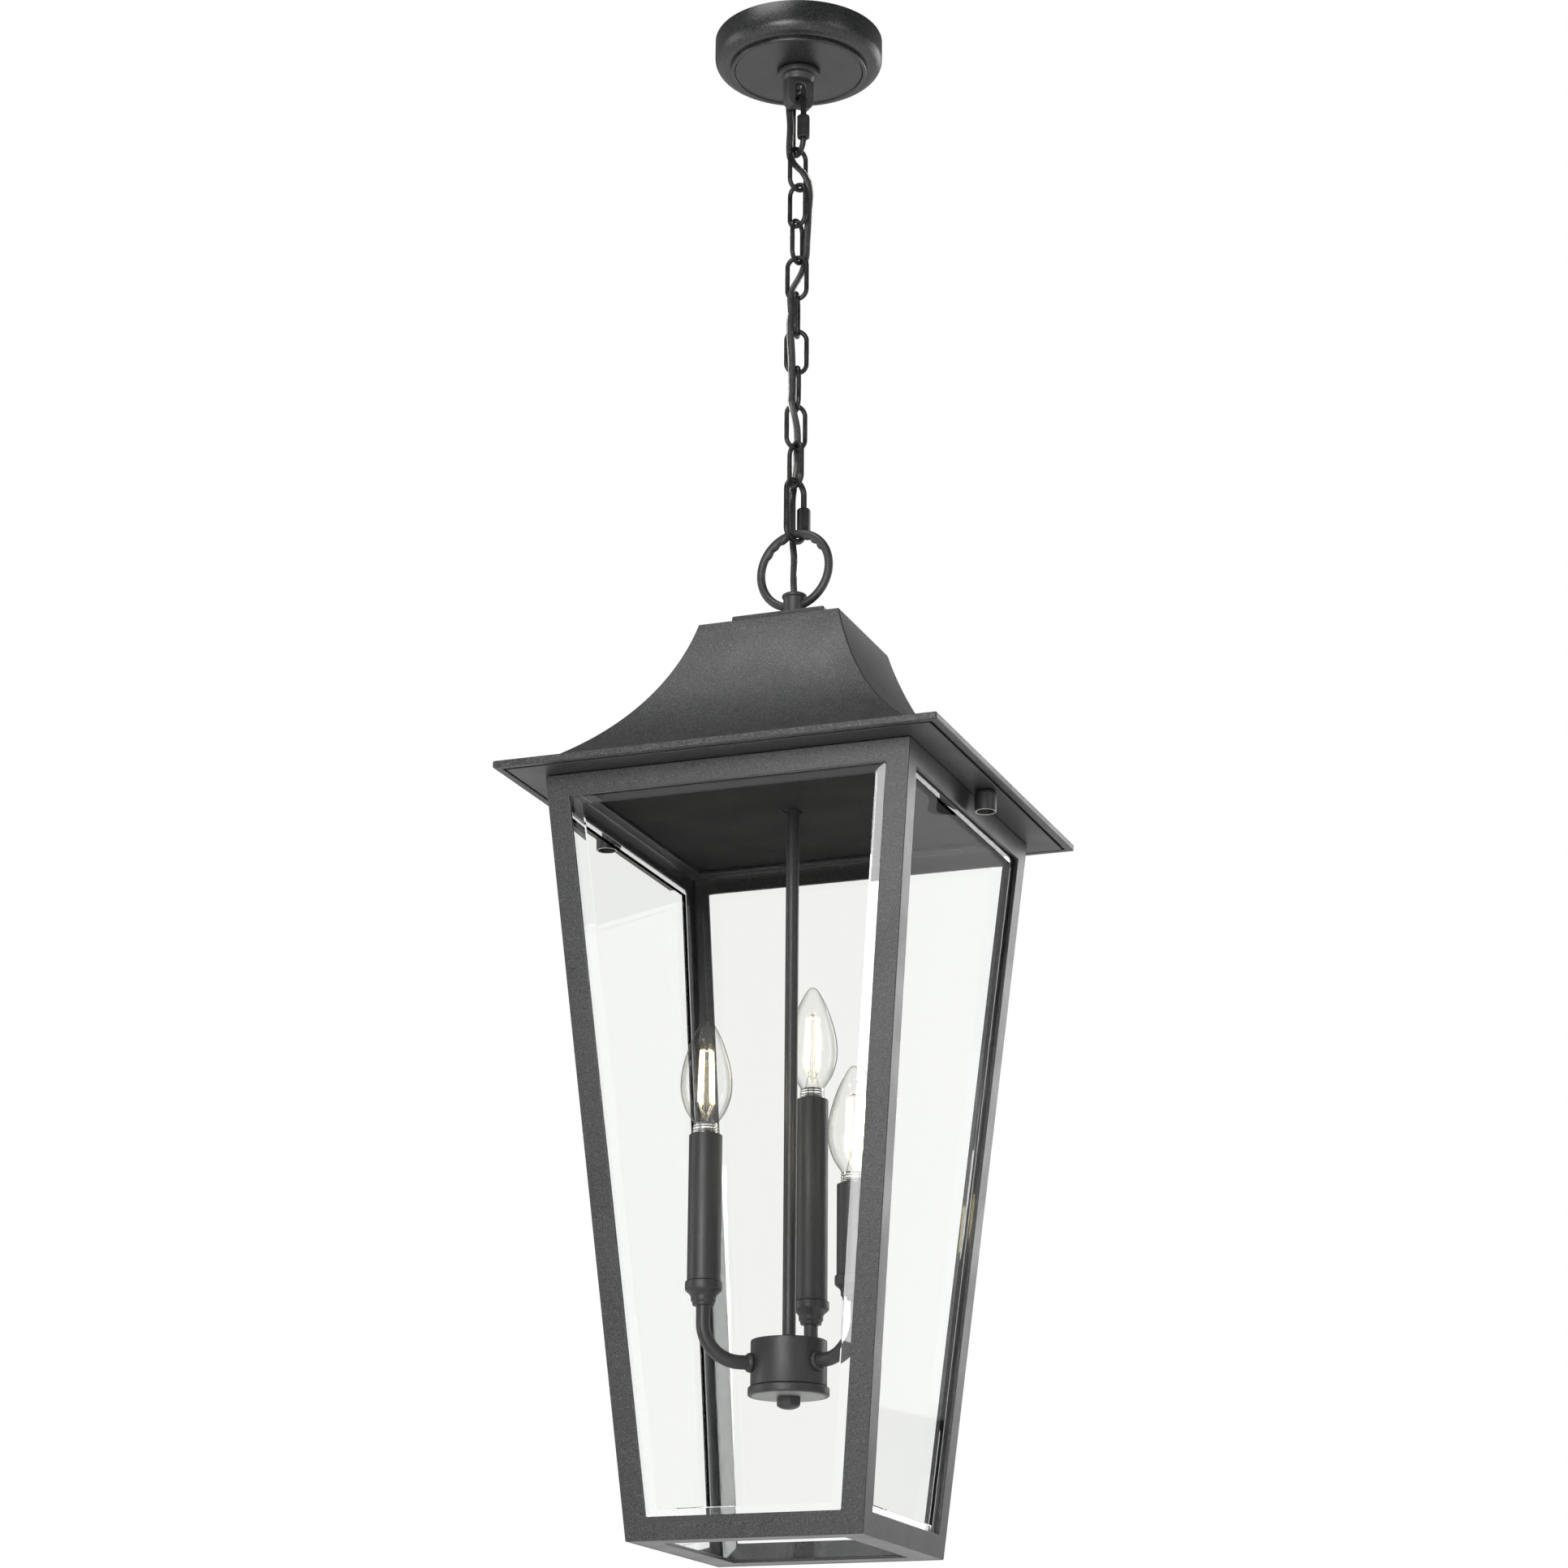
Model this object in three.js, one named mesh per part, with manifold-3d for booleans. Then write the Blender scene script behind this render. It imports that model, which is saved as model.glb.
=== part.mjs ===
// Hanging lantern: a ceiling canopy, a chain with two quick links, and a tapered four-pane lantern
// with a coved roof and a three-candle cluster. Millimetres, +Z up, origin on the ceiling plane.
import * as THREE from "three";
import { mergeVertices } from "three/addons/utils/BufferGeometryUtils.js";
import Module from "manifold-3d";

const wasm = await Module();
wasm.setup();

// ---------------------------------------------------------------- driving dimensions
const GAP = 0.3; // left between pieces that touch
const degrees = Math.PI / 180;

// Heights below the ceiling of the main levels.
const ROOF_TOP = -473.5;
const CAGE_TOP = -600;
const CAGE_BOTTOM = -1105.6;

const CANOPY_RADIUS = 61.9;
const CANOPY_DEPTH = 24;
const CANOPY_SHEET = 1.2;
const CANOPY_SHOULDER = 9;
const DISC_RADIUS = 50.4;
const DISC_RISE = 2;

const CROSSBAR = { length: 108, width: 18, thickness: 2.5, screwSpacing: 88.9, screwRadius: 2.2 };
const NIPPLE = { radius: 4.8, bore: 3.2, clearRadius: 5.1, bottom: -33.6 };
const COLLAR = { radius: 15.9, top: -26.3, bottom: -30, throatRadius: 12.4 };
const LOOP = {
  width: 21, depth: 9.6, top: -33, bottom: -56, slotWidth: 8, slotTop: -36, pinLevel: -52.5, pinRadius: 3.5,
};
const LOOP_ANGLE = -44; // plan direction in which the loop's slot runs

const QUICK_LINK = { wire: 4.3, halfWidth: 9, length: 46.5 }; // width and length on the wire's centre
const SLEEVE = { length: 18, acrossFlats: 8.8, gap: 5.4 };
const CHAIN_LINK = { wire: 3.4, halfWidth: 7.3, length: 33 };
const CHAIN_LINKS = 9;
const FIRST_LINK_ANGLE = 59; // plan direction of the first link's plane
const LINK_TWIST = -79; // each link turns this much against the one above

const RING = { radius: 27.5, wire: 6, angle: -9 };
const BOSS = { radius: 8, lipRadius: 8.9, lipHeight: 3.4, height: 24.1, bore: 3.4, boreDepth: 5 };
const CORD_RADIUS = 1.5;

const ROOF_TOP_HALF = 51;
const COVE = { radius: 207.6, centreOut: 252.5, centreUp: 179.8 }; // arc centre, from the axis and cage top
const ROOF_PLATE = { half: 156.9, edge: 5, lip: 5.4, recess: 2.2 };
const ROOF_SHEET = 1.6;
const SOFFIT = { half: 149.8, thickness: 1.5 };
const CAP_PLATE = { half: 34.2, height: 9.9 };

const CAGE_TOP_HALF = 130;
const CAGE_BOTTOM_HALF = 80.8;
const FRAME_FACE = 16; // width of a post's or rail's face
const RAIL_HEIGHT = 15.2;
const FRAME_SHEET = 2.5;
const TOP_FLANGE = 14;
const BOTTOM_OPENING_HALF = 62;
const GLASS_THICKNESS = 3;

const THUMB_NUT = { radius: 7.7, height: 14.5, offset: 140, recess: 5.4, recessDepth: 3 };

const STEM = { radius: 4.5, top: -458 };
const HUB = { radius: 25.5, top: -968.2, height: 30.6, sheet: 1.4, coverRadius: 27.2, coverHeight: 6 };
const FINIAL = { acrossFlats: 14.4, height: 5.6, domeHeight: 2.6 };
const ARM = { radius: 4.75, reach: 59, bend: 25, level: -984, collarRadius: 6.6, collarLength: 3.4 };
const CUP = { top: -932, bottom: -948, rimRadius: 12.4 };
const SLEEVE_RADIUS = 11.2;
const SLEEVE_BORE = 9.6;
const LAMPHOLDER = { radius: 8.6, height: 30 };
const BULB = { baseRadius: 8.6, baseHeight: 7.5, glassHeight: 73, radius: 17.5 };
// Plan direction of each arm, with the length of the candle sleeve it carries.
const CANDLES = [
  { angle: 216, length: 99 },
  { angle: 96, length: 140.5 },
  { angle: 336, length: 61 },
];

// The cord's route: x and y across the chain and towards the room (turned into plan below), then height.
const CORD_FACING = 20.7;
const CORD_ROUTE = [
  [0, 0, -34.4], [-0.8, -1.6, -38.2], [-2.6, -4.8, -40.2], [-5.6, -6.6, -43.4], [-6.9, -5.2, -49],
  [-5.9, -3.2, -68], [-6.4, -2.4, -88], [-5.6, -2.2, -95], [-2.6, -1.8, -100.4], [0.6, -0.4, -104.6],
  [3.8, 1.4, -109], [7.2, 1.4, -116.5], [8.6, 0.5, -126], [7.8, -0.5, -140], [7, -1.6, -160],
  [6.2, -2.4, -175], [4, -1.2, -186.5], [0.4, 0.9, -195.4], [-2.8, 3.2, -202.6], [-4.6, 4, -210],
  [-4.2, 4.3, -222], [-4.3, 4.9, -235], [-3.1, 4.9, -258], [-2.6, 5.1, -284], [-3, 5.7, -295],
  [-1, 3.6, -303.5], [0.8, 0.2, -311], [1.4, -3.4, -319], [1.1, -5.9, -326.5], [1.1, -5.4, -337],
  [-0.2, -6.8, -348], [-1.3, -7.6, -357], [-2, -5.4, -365], [-2, -4.6, -374], [-2, -5.1, -383],
  [-1.9, -6.7, -392], [-1.3, -6.1, -401], [-0.6, -3, -410], [-0.8, -0.3, -430], [0, 0, -443.4],
];

// ---------------------------------------------------------------- finishes
const finish = (color, roughness, metalness) => () =>
  new THREE.MeshStandardMaterial({ color, roughness, metalness });
const blackSteel = finish(0x2b2c2d, 0.55, 0.6);
const zincSteel = finish(0x9a9a96, 0.4, 0.9);
const nickel = finish(0xcfcdc6, 0.2, 1);
const blackCord = finish(0x1a1a1a, 0.5, 0);
const ceramic = finish(0xe4e0d6, 0.6, 0);
const clearGlass = () =>
  new THREE.MeshStandardMaterial({
    color: 0xeef4f2, roughness: 0.05, metalness: 0, transparent: true, opacity: 0.3,
  });

// ---------------------------------------------------------------- solids
const group = new THREE.Group();
const addPart = (name, geometry, material, parent = group) => {
  const mesh = new THREE.Mesh(geometry, material());
  mesh.name = name;
  parent.add(mesh);
  return mesh;
};

const toSolid = (geometry) => {
  const bare = geometry.index ? geometry.toNonIndexed() : geometry.clone();
  bare.deleteAttribute("normal");
  bare.deleteAttribute("uv");
  const merged = mergeVertices(bare, 1e-4);
  return new wasm.Manifold(
    new wasm.Mesh({
      numProp: 3,
      vertProperties: merged.attributes.position.array,
      triVerts: new Uint32Array(merged.index.array),
    }),
  );
};
const toGeometry = (solid) => {
  const mesh = solid.getMesh();
  const geometry = new THREE.BufferGeometry();
  geometry.setAttribute("position", new THREE.BufferAttribute(new Float32Array(mesh.vertProperties), 3));
  geometry.setIndex(new THREE.BufferAttribute(new Uint32Array(mesh.triVerts), 1));
  geometry.computeVertexNormals();
  return geometry;
};
const join = (...geometries) => toGeometry(geometries.map(toSolid).reduce((a, b) => a.add(b)));
const cut = (geometry, ...tools) =>
  toGeometry(tools.map(toSolid).reduce((a, b) => a.subtract(b), toSolid(geometry)));

// A turned solid from [radius, height] points, listed from the bottom of the outside upwards.
const turned = (points, segments = 32) => {
  const profile = points.map(([r, z]) => new THREE.Vector2(r, z));
  if (points[0][0] > 0) profile.push(profile[0].clone());
  return new THREE.LatheGeometry(profile, segments).rotateX(90 * degrees);
};
// The same with four flat sides: each point's first number is the half width.
const squareTurned = (points) =>
  turned(points.map(([half, z]) => [half * Math.SQRT2, z]), 4).rotateZ(45 * degrees);
// A round bar between two heights.
const bar = (radius, bottom, top, segments = 24) =>
  turned([[0, bottom], [radius, bottom], [radius, top], [0, top]], segments);
// A washer or tube between two heights.
const tube = (outer, inner, bottom, top, segments = 24) =>
  turned([[outer, bottom], [outer, top], [inner, top], [inner, bottom]], segments);

const polygon = (points) => new THREE.Shape(points.map(([x, y]) => new THREE.Vector2(x, y)));
const circle = (radius, sides) =>
  polygon(Array.from({ length: sides }, (_, i) => {
    const a = (2 * Math.PI * i) / sides;
    return [radius * Math.cos(a), radius * Math.sin(a)];
  }));
const extruded = (shape, depth) =>
  new THREE.ExtrudeGeometry(shape, { depth, bevelEnabled: false, curveSegments: 8 });
const hexBar = (acrossFlats, bottom, top, bore = 0) => {
  const shape = circle(acrossFlats / Math.sqrt(3), 6);
  if (bore) shape.holes.push(new THREE.Path(circle(bore, 16).getPoints().reverse()));
  return extruded(shape, top - bottom).translate(0, 0, bottom);
};
const swept = (curve, radius, sides, steps) =>
  new THREE.ExtrudeGeometry(circle(radius, sides), { steps, extrudePath: curve, bevelEnabled: false });

// Stands a solid made in the XZ plane in the vertical plane that runs in a plan direction.
const turnTo = (geometry, angle) => geometry.rotateZ(angle * degrees);

// ---------------------------------------------------------------- canopy and ceiling fittings
function canopyProfile() {
  const shoulderOut = CANOPY_RADIUS - CANOPY_SHOULDER;
  const shoulderLevel = -CANOPY_DEPTH + CANOPY_SHOULDER;
  const arc = (radius) =>
    [0, 1 / 3, 2 / 3, 1].map((t) => {
      const a = t * 90 * degrees;
      return [shoulderOut + radius * Math.sin(a), shoulderLevel - radius * Math.cos(a)];
    });
  const discBottom = -CANOPY_DEPTH - DISC_RISE;
  const outside = [
    [NIPPLE.clearRadius, discBottom], [DISC_RADIUS, discBottom], [DISC_RADIUS, -CANOPY_DEPTH],
    ...arc(CANOPY_SHOULDER), [CANOPY_RADIUS, 0],
  ];
  const inside = [
    [CANOPY_RADIUS - CANOPY_SHEET, 0],
    ...arc(CANOPY_SHOULDER - CANOPY_SHEET).reverse(),
    [DISC_RADIUS - CANOPY_SHEET, -CANOPY_DEPTH + CANOPY_SHEET],
    [DISC_RADIUS - CANOPY_SHEET, discBottom + CANOPY_SHEET],
    [NIPPLE.clearRadius, discBottom + CANOPY_SHEET],
  ];
  return [...outside, ...inside];
}

addPart("canopy_shell", turned(canopyProfile(), 32), blackSteel);

const crossbarBlank = new THREE.BoxGeometry(CROSSBAR.length, CROSSBAR.width, CROSSBAR.thickness)
  .translate(0, 0, -CROSSBAR.thickness / 2);
const crossbarHoles = [
  [0, NIPPLE.clearRadius], [-CROSSBAR.screwSpacing / 2, CROSSBAR.screwRadius],
  [CROSSBAR.screwSpacing / 2, CROSSBAR.screwRadius],
].map(([x, radius]) => bar(radius, -5, 5, 16).translate(x, 0, 0));
addPart("mounting_crossbar", cut(crossbarBlank, ...crossbarHoles), zincSteel);

addPart("threaded_nipple", tube(NIPPLE.radius, NIPPLE.bore, NIPPLE.bottom, -GAP, 20), zincSteel);
const locknutTop = -CROSSBAR.thickness - GAP;
addPart("nipple_locknut", hexBar(14, locknutTop - 3, locknutTop, NIPPLE.clearRadius), zincSteel);

addPart("collar_ring", turned([
  [NIPPLE.clearRadius, COLLAR.bottom], [COLLAR.throatRadius, COLLAR.bottom],
  [COLLAR.radius - 0.8, COLLAR.bottom], [COLLAR.radius, COLLAR.bottom + 0.8],
  [COLLAR.radius, COLLAR.top], [NIPPLE.clearRadius, COLLAR.top],
], 32), blackSteel);

function collarLoop() {
  const half = LOOP.width / 2;
  const inner = LOOP.slotWidth / 2;
  const outline = polygon([
    [-half, LOOP.top], [-half, LOOP.bottom + 6], [-half + 4.5, LOOP.bottom], [-inner, LOOP.bottom],
    [-inner, LOOP.slotTop - 2], [-inner + 2, LOOP.slotTop], [inner - 2, LOOP.slotTop],
    [inner, LOOP.slotTop - 2], [inner, LOOP.bottom], [half - 4.5, LOOP.bottom],
    [half, LOOP.bottom + 6], [half, LOOP.top],
  ]);
  const block = extruded(outline, LOOP.depth).translate(0, 0, -LOOP.depth / 2)
    .rotateX(90 * degrees).rotateZ(90 * degrees);
  const round = bar(half, LOOP.bottom - 1, LOOP.top + 0.5, 32);
  const crossPin = bar(LOOP.pinRadius, -inner - 1, inner + 1, 16).rotateX(90 * degrees)
    .translate(0, 0, LOOP.pinLevel);
  const neck = turned([
    [0, LOOP.top - 0.5], [10.6, LOOP.top - 0.5], [12, COLLAR.bottom - GAP], [0, COLLAR.bottom - GAP],
  ]);
  const body = toSolid(block).intersect(toSolid(round)).add(toSolid(crossPin)).add(toSolid(neck));
  const socket = bar(NIPPLE.clearRadius, NIPPLE.bottom - GAP, 0, 20);
  const wireWay = bar(2.6, LOOP.slotTop - 1, 0, 16);
  return turnTo(cut(toGeometry(body), socket, wireWay), LOOP_ANGLE);
}
addPart("collar_loop", collarLoop(), blackSteel);

// ---------------------------------------------------------------- chain
// A link stands in its own vertical plane; top is the level of its upper wire's centre.
function chainLink(top, angle) {
  const { wire, halfWidth, length } = CHAIN_LINK;
  const turns = 20;
  const geometry = new THREE.TorusGeometry(halfWidth, wire / 2, 8, turns).rotateZ(Math.PI / turns);
  const stretch = length / 2 - halfWidth;
  const position = geometry.attributes.position;
  for (let i = 0; i < position.count; i++) {
    position.setY(i, position.getY(i) + Math.sign(position.getY(i)) * stretch);
  }
  return turnTo(geometry.rotateX(90 * degrees).translate(0, 0, top - length / 2), angle);
}

// The open wire of a quick link, from one side of its gap round to the other.
class QuickLinkCurve extends THREE.Curve {
  getPoint(t, target = new THREE.Vector3()) {
    const { halfWidth, length } = QUICK_LINK;
    const straight = length - 2 * halfWidth;
    const arc = Math.PI * halfWidth;
    const total = 2 * straight + 2 * arc;
    // The walk starts above the gap, at the low end of the leg at +x, and goes over the top.
    let s = SLEEVE.gap + 2 + t * (total - SLEEVE.gap);
    if (s > total) s -= total;
    if (s <= straight) return target.set(halfWidth, 0, -straight / 2 + s);
    s -= straight;
    if (s <= arc) {
      const a = s / halfWidth;
      return target.set(halfWidth * Math.cos(a), 0, straight / 2 + halfWidth * Math.sin(a));
    }
    s -= arc;
    if (s <= straight) return target.set(-halfWidth, 0, straight / 2 - s);
    const a = Math.PI + (s - straight) / halfWidth;
    return target.set(halfWidth * Math.cos(a), 0, -straight / 2 + halfWidth * Math.sin(a));
  }
}
const quickLink = (top, angle) =>
  turnTo(
    swept(new QuickLinkCurve(), QUICK_LINK.wire / 2, 8, 28).translate(0, 0, top - QUICK_LINK.length / 2),
    angle,
  );
const linkSleeve = (top, angle) => {
  const bottom = top - QUICK_LINK.length + QUICK_LINK.halfWidth + 0.1;
  return turnTo(
    hexBar(SLEEVE.acrossFlats, bottom, bottom + SLEEVE.length, QUICK_LINK.wire / 2 + GAP)
      .translate(QUICK_LINK.halfWidth, 0, 0),
    angle,
  );
};

const restingStep = (upper, lower) => (upper + lower) / 2 + GAP;
const topLinkTop = LOOP.pinLevel + LOOP.pinRadius + QUICK_LINK.wire / 2 + GAP;
const topLinkBottom = topLinkTop - QUICK_LINK.length;
const firstLinkTop = topLinkBottom + restingStep(QUICK_LINK.wire, CHAIN_LINK.wire);
const linkPitch = CHAIN_LINK.length - restingStep(CHAIN_LINK.wire, CHAIN_LINK.wire);
const linkTop = (i) => firstLinkTop - i * linkPitch;
const bottomLinkTop =
  linkTop(CHAIN_LINKS - 1) - CHAIN_LINK.length + restingStep(CHAIN_LINK.wire, QUICK_LINK.wire);
const bottomLinkBottom = bottomLinkTop - QUICK_LINK.length;
const ringTop = bottomLinkBottom + restingStep(QUICK_LINK.wire, RING.wire);
const BOTTOM_LINK_ANGLE = 68;

addPart("top_quick_link", quickLink(topLinkTop, LOOP_ANGLE), blackSteel);
addPart("top_link_sleeve", linkSleeve(topLinkTop, LOOP_ANGLE), blackSteel);
for (let i = 0; i < CHAIN_LINKS; i++) {
  const angle = FIRST_LINK_ANGLE + i * LINK_TWIST;
  addPart(`chain_link_${i + 1}`, chainLink(linkTop(i), angle), blackSteel);
}
addPart("bottom_quick_link", quickLink(bottomLinkTop, BOTTOM_LINK_ANGLE), blackSteel);
addPart("bottom_link_sleeve", linkSleeve(bottomLinkTop, BOTTOM_LINK_ANGLE), blackSteel);

// ---------------------------------------------------------------- cord
function cordCurve() {
  const c = Math.cos(CORD_FACING * degrees);
  const s = Math.sin(CORD_FACING * degrees);
  return new THREE.CatmullRomCurve3(
    CORD_ROUTE.map(([across, towards, z]) =>
      new THREE.Vector3(across * c + towards * s, across * s - towards * c, z)),
    false,
    "centripetal",
  );
}
addPart("lamp_cord", swept(cordCurve(), CORD_RADIUS, 8, 72), blackCord);

// ---------------------------------------------------------------- hanging ring and roof
const capTop = ROOF_TOP + GAP + CAP_PLATE.height;
const bossBottom = capTop + GAP;
const bossTop = bossBottom + BOSS.height;

function hangingRing() {
  const torus = turnTo(
    new THREE.TorusGeometry(RING.radius, RING.wire / 2, 8, 30).rotateX(90 * degrees)
      .translate(0, 0, ringTop - RING.radius),
    RING.angle,
  );
  const lipBottom = bossTop - BOSS.lipHeight;
  const boss = turned([
    [0, bossBottom], [BOSS.radius, bossBottom], [BOSS.radius, lipBottom], [BOSS.lipRadius, lipBottom + 0.8],
    [BOSS.lipRadius, bossTop - 1.4], [BOSS.lipRadius - 1.6, bossTop], [0, bossTop],
  ]);
  const cordHole = bar(BOSS.bore, bossTop - BOSS.boreDepth, bossTop + 5, 16);
  const stemHole = bar(STEM.radius + GAP, bossBottom - 5, STEM.top + GAP, 16);
  return cut(join(torus, boss), cordHole, stemHole);
}
addPart("hanging_ring", hangingRing(), blackSteel);

const stemHole = () => bar(STEM.radius + GAP, CAGE_TOP - 20, capTop + 5, 16);
const capBottom = ROOF_TOP + GAP;
addPart("roof_cap_plate", cut(squareTurned([
  [0, capBottom], [CAP_PLATE.half, capBottom], [CAP_PLATE.half, capTop - 1],
  [CAP_PLATE.half - 1, capTop], [0, capTop],
]), stemHole()), blackSteel);

// Half width of the coved roof at a height, on the outside or, with an offset, inside the sheet.
const coveHalf = (z, offset = 0) => {
  const rise = COVE.centreUp - (z - CAGE_TOP);
  const radius = COVE.radius + offset;
  return COVE.centreOut - Math.sqrt(radius * radius - rise * rise);
};
function roofShell() {
  const plateBottom = CAGE_TOP + 0.4;
  const plateTop = plateBottom + ROOF_PLATE.edge;
  const recessTop = plateBottom + ROOF_PLATE.recess;
  const levels = (from, to) => Array.from({ length: 13 }, (_, i) => from + ((to - from) * i) / 12);
  const outside = levels(plateTop, ROOF_TOP).map((z) => [coveHalf(z), z]);
  const inside = levels(ROOF_TOP - ROOF_SHEET, recessTop).map((z) => [coveHalf(z, ROOF_SHEET), z]);
  return cut(squareTurned([
    [0, ROOF_TOP - ROOF_SHEET], ...inside,
    [ROOF_PLATE.half - ROOF_PLATE.lip, recessTop], [ROOF_PLATE.half - ROOF_PLATE.lip, plateBottom],
    [ROOF_PLATE.half, plateBottom], [ROOF_PLATE.half, plateTop], ...outside, [0, ROOF_TOP],
  ]), stemHole());
}
addPart("roof_shell", roofShell(), blackSteel);

const soffitBottom = CAGE_TOP + GAP;
const soffitTop = soffitBottom + SOFFIT.thickness;
addPart("soffit_panel", cut(squareTurned([
  [0, soffitBottom], [SOFFIT.half, soffitBottom], [SOFFIT.half, soffitTop], [0, soffitTop],
]), stemHole()), blackSteel);

for (const [side, direction] of [["left", -1], ["right", 1]]) {
  const { radius, height, offset, recess, recessDepth } = THUMB_NUT;
  const top = CAGE_TOP;
  const bottom = top - height;
  addPart(`thumb_nut_${side}`, turned([
    [0, bottom + recessDepth], [recess, bottom + recessDepth], [recess + 0.6, bottom], [radius - 0.8, bottom],
    [radius, bottom + 0.8], [radius, top - 1.6], [radius - 1, top], [0, top],
  ], 20).translate(direction * offset, 0, 0), blackSteel);
}

// ---------------------------------------------------------------- tapered cage
const slope = (CAGE_TOP_HALF - CAGE_BOTTOM_HALF) / (CAGE_TOP - CAGE_BOTTOM);
const cageHalf = (z) => CAGE_BOTTOM_HALF + (z - CAGE_BOTTOM) * slope;

const topRailBottom = CAGE_TOP - RAIL_HEIGHT;
const bottomRailTop = CAGE_BOTTOM + RAIL_HEIGHT;
const flangeUnder = CAGE_TOP - FRAME_SHEET;
const flangeOver = CAGE_BOTTOM + FRAME_SHEET;
addPart("top_frame", squareTurned([
  [cageHalf(topRailBottom), topRailBottom], [CAGE_TOP_HALF, CAGE_TOP],
  [CAGE_TOP_HALF - TOP_FLANGE, CAGE_TOP], [CAGE_TOP_HALF - TOP_FLANGE, flangeUnder],
  [cageHalf(flangeUnder) - FRAME_SHEET, flangeUnder], [cageHalf(topRailBottom) - FRAME_SHEET, topRailBottom],
]), blackSteel);
addPart("bottom_frame", squareTurned([
  [CAGE_BOTTOM_HALF, CAGE_BOTTOM], [cageHalf(bottomRailTop), bottomRailTop],
  [cageHalf(bottomRailTop) - FRAME_SHEET, bottomRailTop], [cageHalf(flangeOver) - FRAME_SHEET, flangeOver],
  [BOTTOM_OPENING_HALF, flangeOver], [BOTTOM_OPENING_HALF, CAGE_BOTTOM],
]), blackSteel);

const postBottom = bottomRailTop + GAP;
const postTop = topRailBottom - GAP;
["front_left", "front_right", "back_right", "back_left"].forEach((corner, i) => {
  const angle = polygon([
    [0, 0], [FRAME_FACE, 0], [FRAME_FACE, FRAME_SHEET], [FRAME_SHEET, FRAME_SHEET],
    [FRAME_SHEET, FRAME_FACE], [0, FRAME_FACE],
  ]);
  const start = -cageHalf(postBottom);
  const lean = new THREE.Matrix4().makeShear(0, 0, 0, 0, -slope, -slope);
  addPart(`corner_post_${corner}`, extruded(angle, postTop - postBottom).applyMatrix4(lean)
    .translate(start, start, postBottom).rotateZ(i * 90 * degrees), blackSteel);
});

const glassTop = flangeUnder - GAP;
const glassBottom = flangeOver + GAP;
["front", "right", "back", "left"].forEach((side, i) => {
  const inset = FRAME_SHEET + GAP + GLASS_THICKNESS + 0.4;
  const topHalf = cageHalf(glassTop) - inset;
  const bottomHalf = cageHalf(glassBottom) - inset;
  const height = glassTop - glassBottom;
  const pane = polygon([[-bottomHalf, 0], [bottomHalf, 0], [topHalf, height], [-topHalf, height]]);
  const lean = new THREE.Matrix4().makeShear(0, 0, 0, 0, 0, -slope);
  const outerFace = cageHalf(glassBottom) - FRAME_SHEET - GAP;
  addPart(`glass_${side}`, extruded(pane, GLASS_THICKNESS).rotateX(90 * degrees)
    .translate(0, GLASS_THICKNESS, 0).applyMatrix4(lean)
    .translate(0, -outerFace, glassBottom).rotateZ(i * 90 * degrees), clearGlass);
});

// ---------------------------------------------------------------- stem, hub and arms
addPart("stem_tube", tube(STEM.radius, STEM.radius - 1.4, HUB.top + GAP, STEM.top, 20), blackSteel);
addPart("stem_locknut", hexBar(14, soffitTop + GAP, soffitTop + GAP + 5, STEM.radius + GAP), zincSteel);

const hubBottom = HUB.top - HUB.height;
addPart("hub_body", turned([
  [HUB.radius, hubBottom], [HUB.radius, HUB.top], [0, HUB.top], [0, HUB.top - HUB.sheet],
  [HUB.radius - HUB.sheet, HUB.top - HUB.sheet], [HUB.radius - HUB.sheet, hubBottom],
  [HUB.radius, hubBottom],
], 28), blackSteel);
const coverTop = hubBottom - GAP;
const coverBottom = coverTop - HUB.coverHeight;
addPart("hub_cover", turned([
  [0, coverBottom], [HUB.coverRadius - 1.6, coverBottom], [HUB.coverRadius, coverBottom + 1.6],
  [HUB.coverRadius, coverTop - 1], [HUB.coverRadius - 1, coverTop], [0, coverTop],
], 28), blackSteel);
const finialTop = coverBottom - GAP;
const finialBottom = finialTop - FINIAL.height;
addPart("hub_finial", join(
  hexBar(FINIAL.acrossFlats, finialBottom, finialTop),
  turned([[0, finialBottom - FINIAL.domeHeight], [4, finialBottom - FINIAL.domeHeight * 0.7],
    [FINIAL.acrossFlats / 2 - 0.4, finialBottom + 0.5], [0, finialBottom + 0.5]], 16),
), blackSteel);

class ArmCurve extends THREE.Curve {
  getPoint(t, target = new THREE.Vector3()) {
    const start = HUB.radius + GAP;
    const along = ARM.reach - ARM.bend - start;
    const arc = (Math.PI / 2) * ARM.bend;
    const rise = CUP.bottom - GAP - ARM.level - ARM.bend;
    const s = t * (along + arc + rise);
    if (s <= along) return target.set(start + s, 0, ARM.level);
    if (s <= along + arc) {
      const a = (s - along) / ARM.bend;
      return target.set(
        ARM.reach - ARM.bend + ARM.bend * Math.sin(a), 0, ARM.level + ARM.bend * (1 - Math.cos(a)));
    }
    return target.set(ARM.reach, 0, ARM.level + ARM.bend + s - along - arc);
  }
}
function bulbProfile(bottom) {
  const outline = new THREE.SplineCurve([
    [8.6, 0], [12.6, 7], [16.2, 16], [17.5, 28], [16.6, 39], [13.8, 49], [9.6, 59], [5.2, 67], [1.8, 72],
  ].map(([r, h]) => new THREE.Vector2(r, bottom + BULB.baseHeight + (h / 73) * BULB.glassHeight)));
  return [
    [0, bottom], [BULB.baseRadius, bottom], ...outline.getPoints(8).map((p) => [p.x, p.y]),
    [0, bottom + BULB.baseHeight + BULB.glassHeight],
  ];
}

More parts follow.
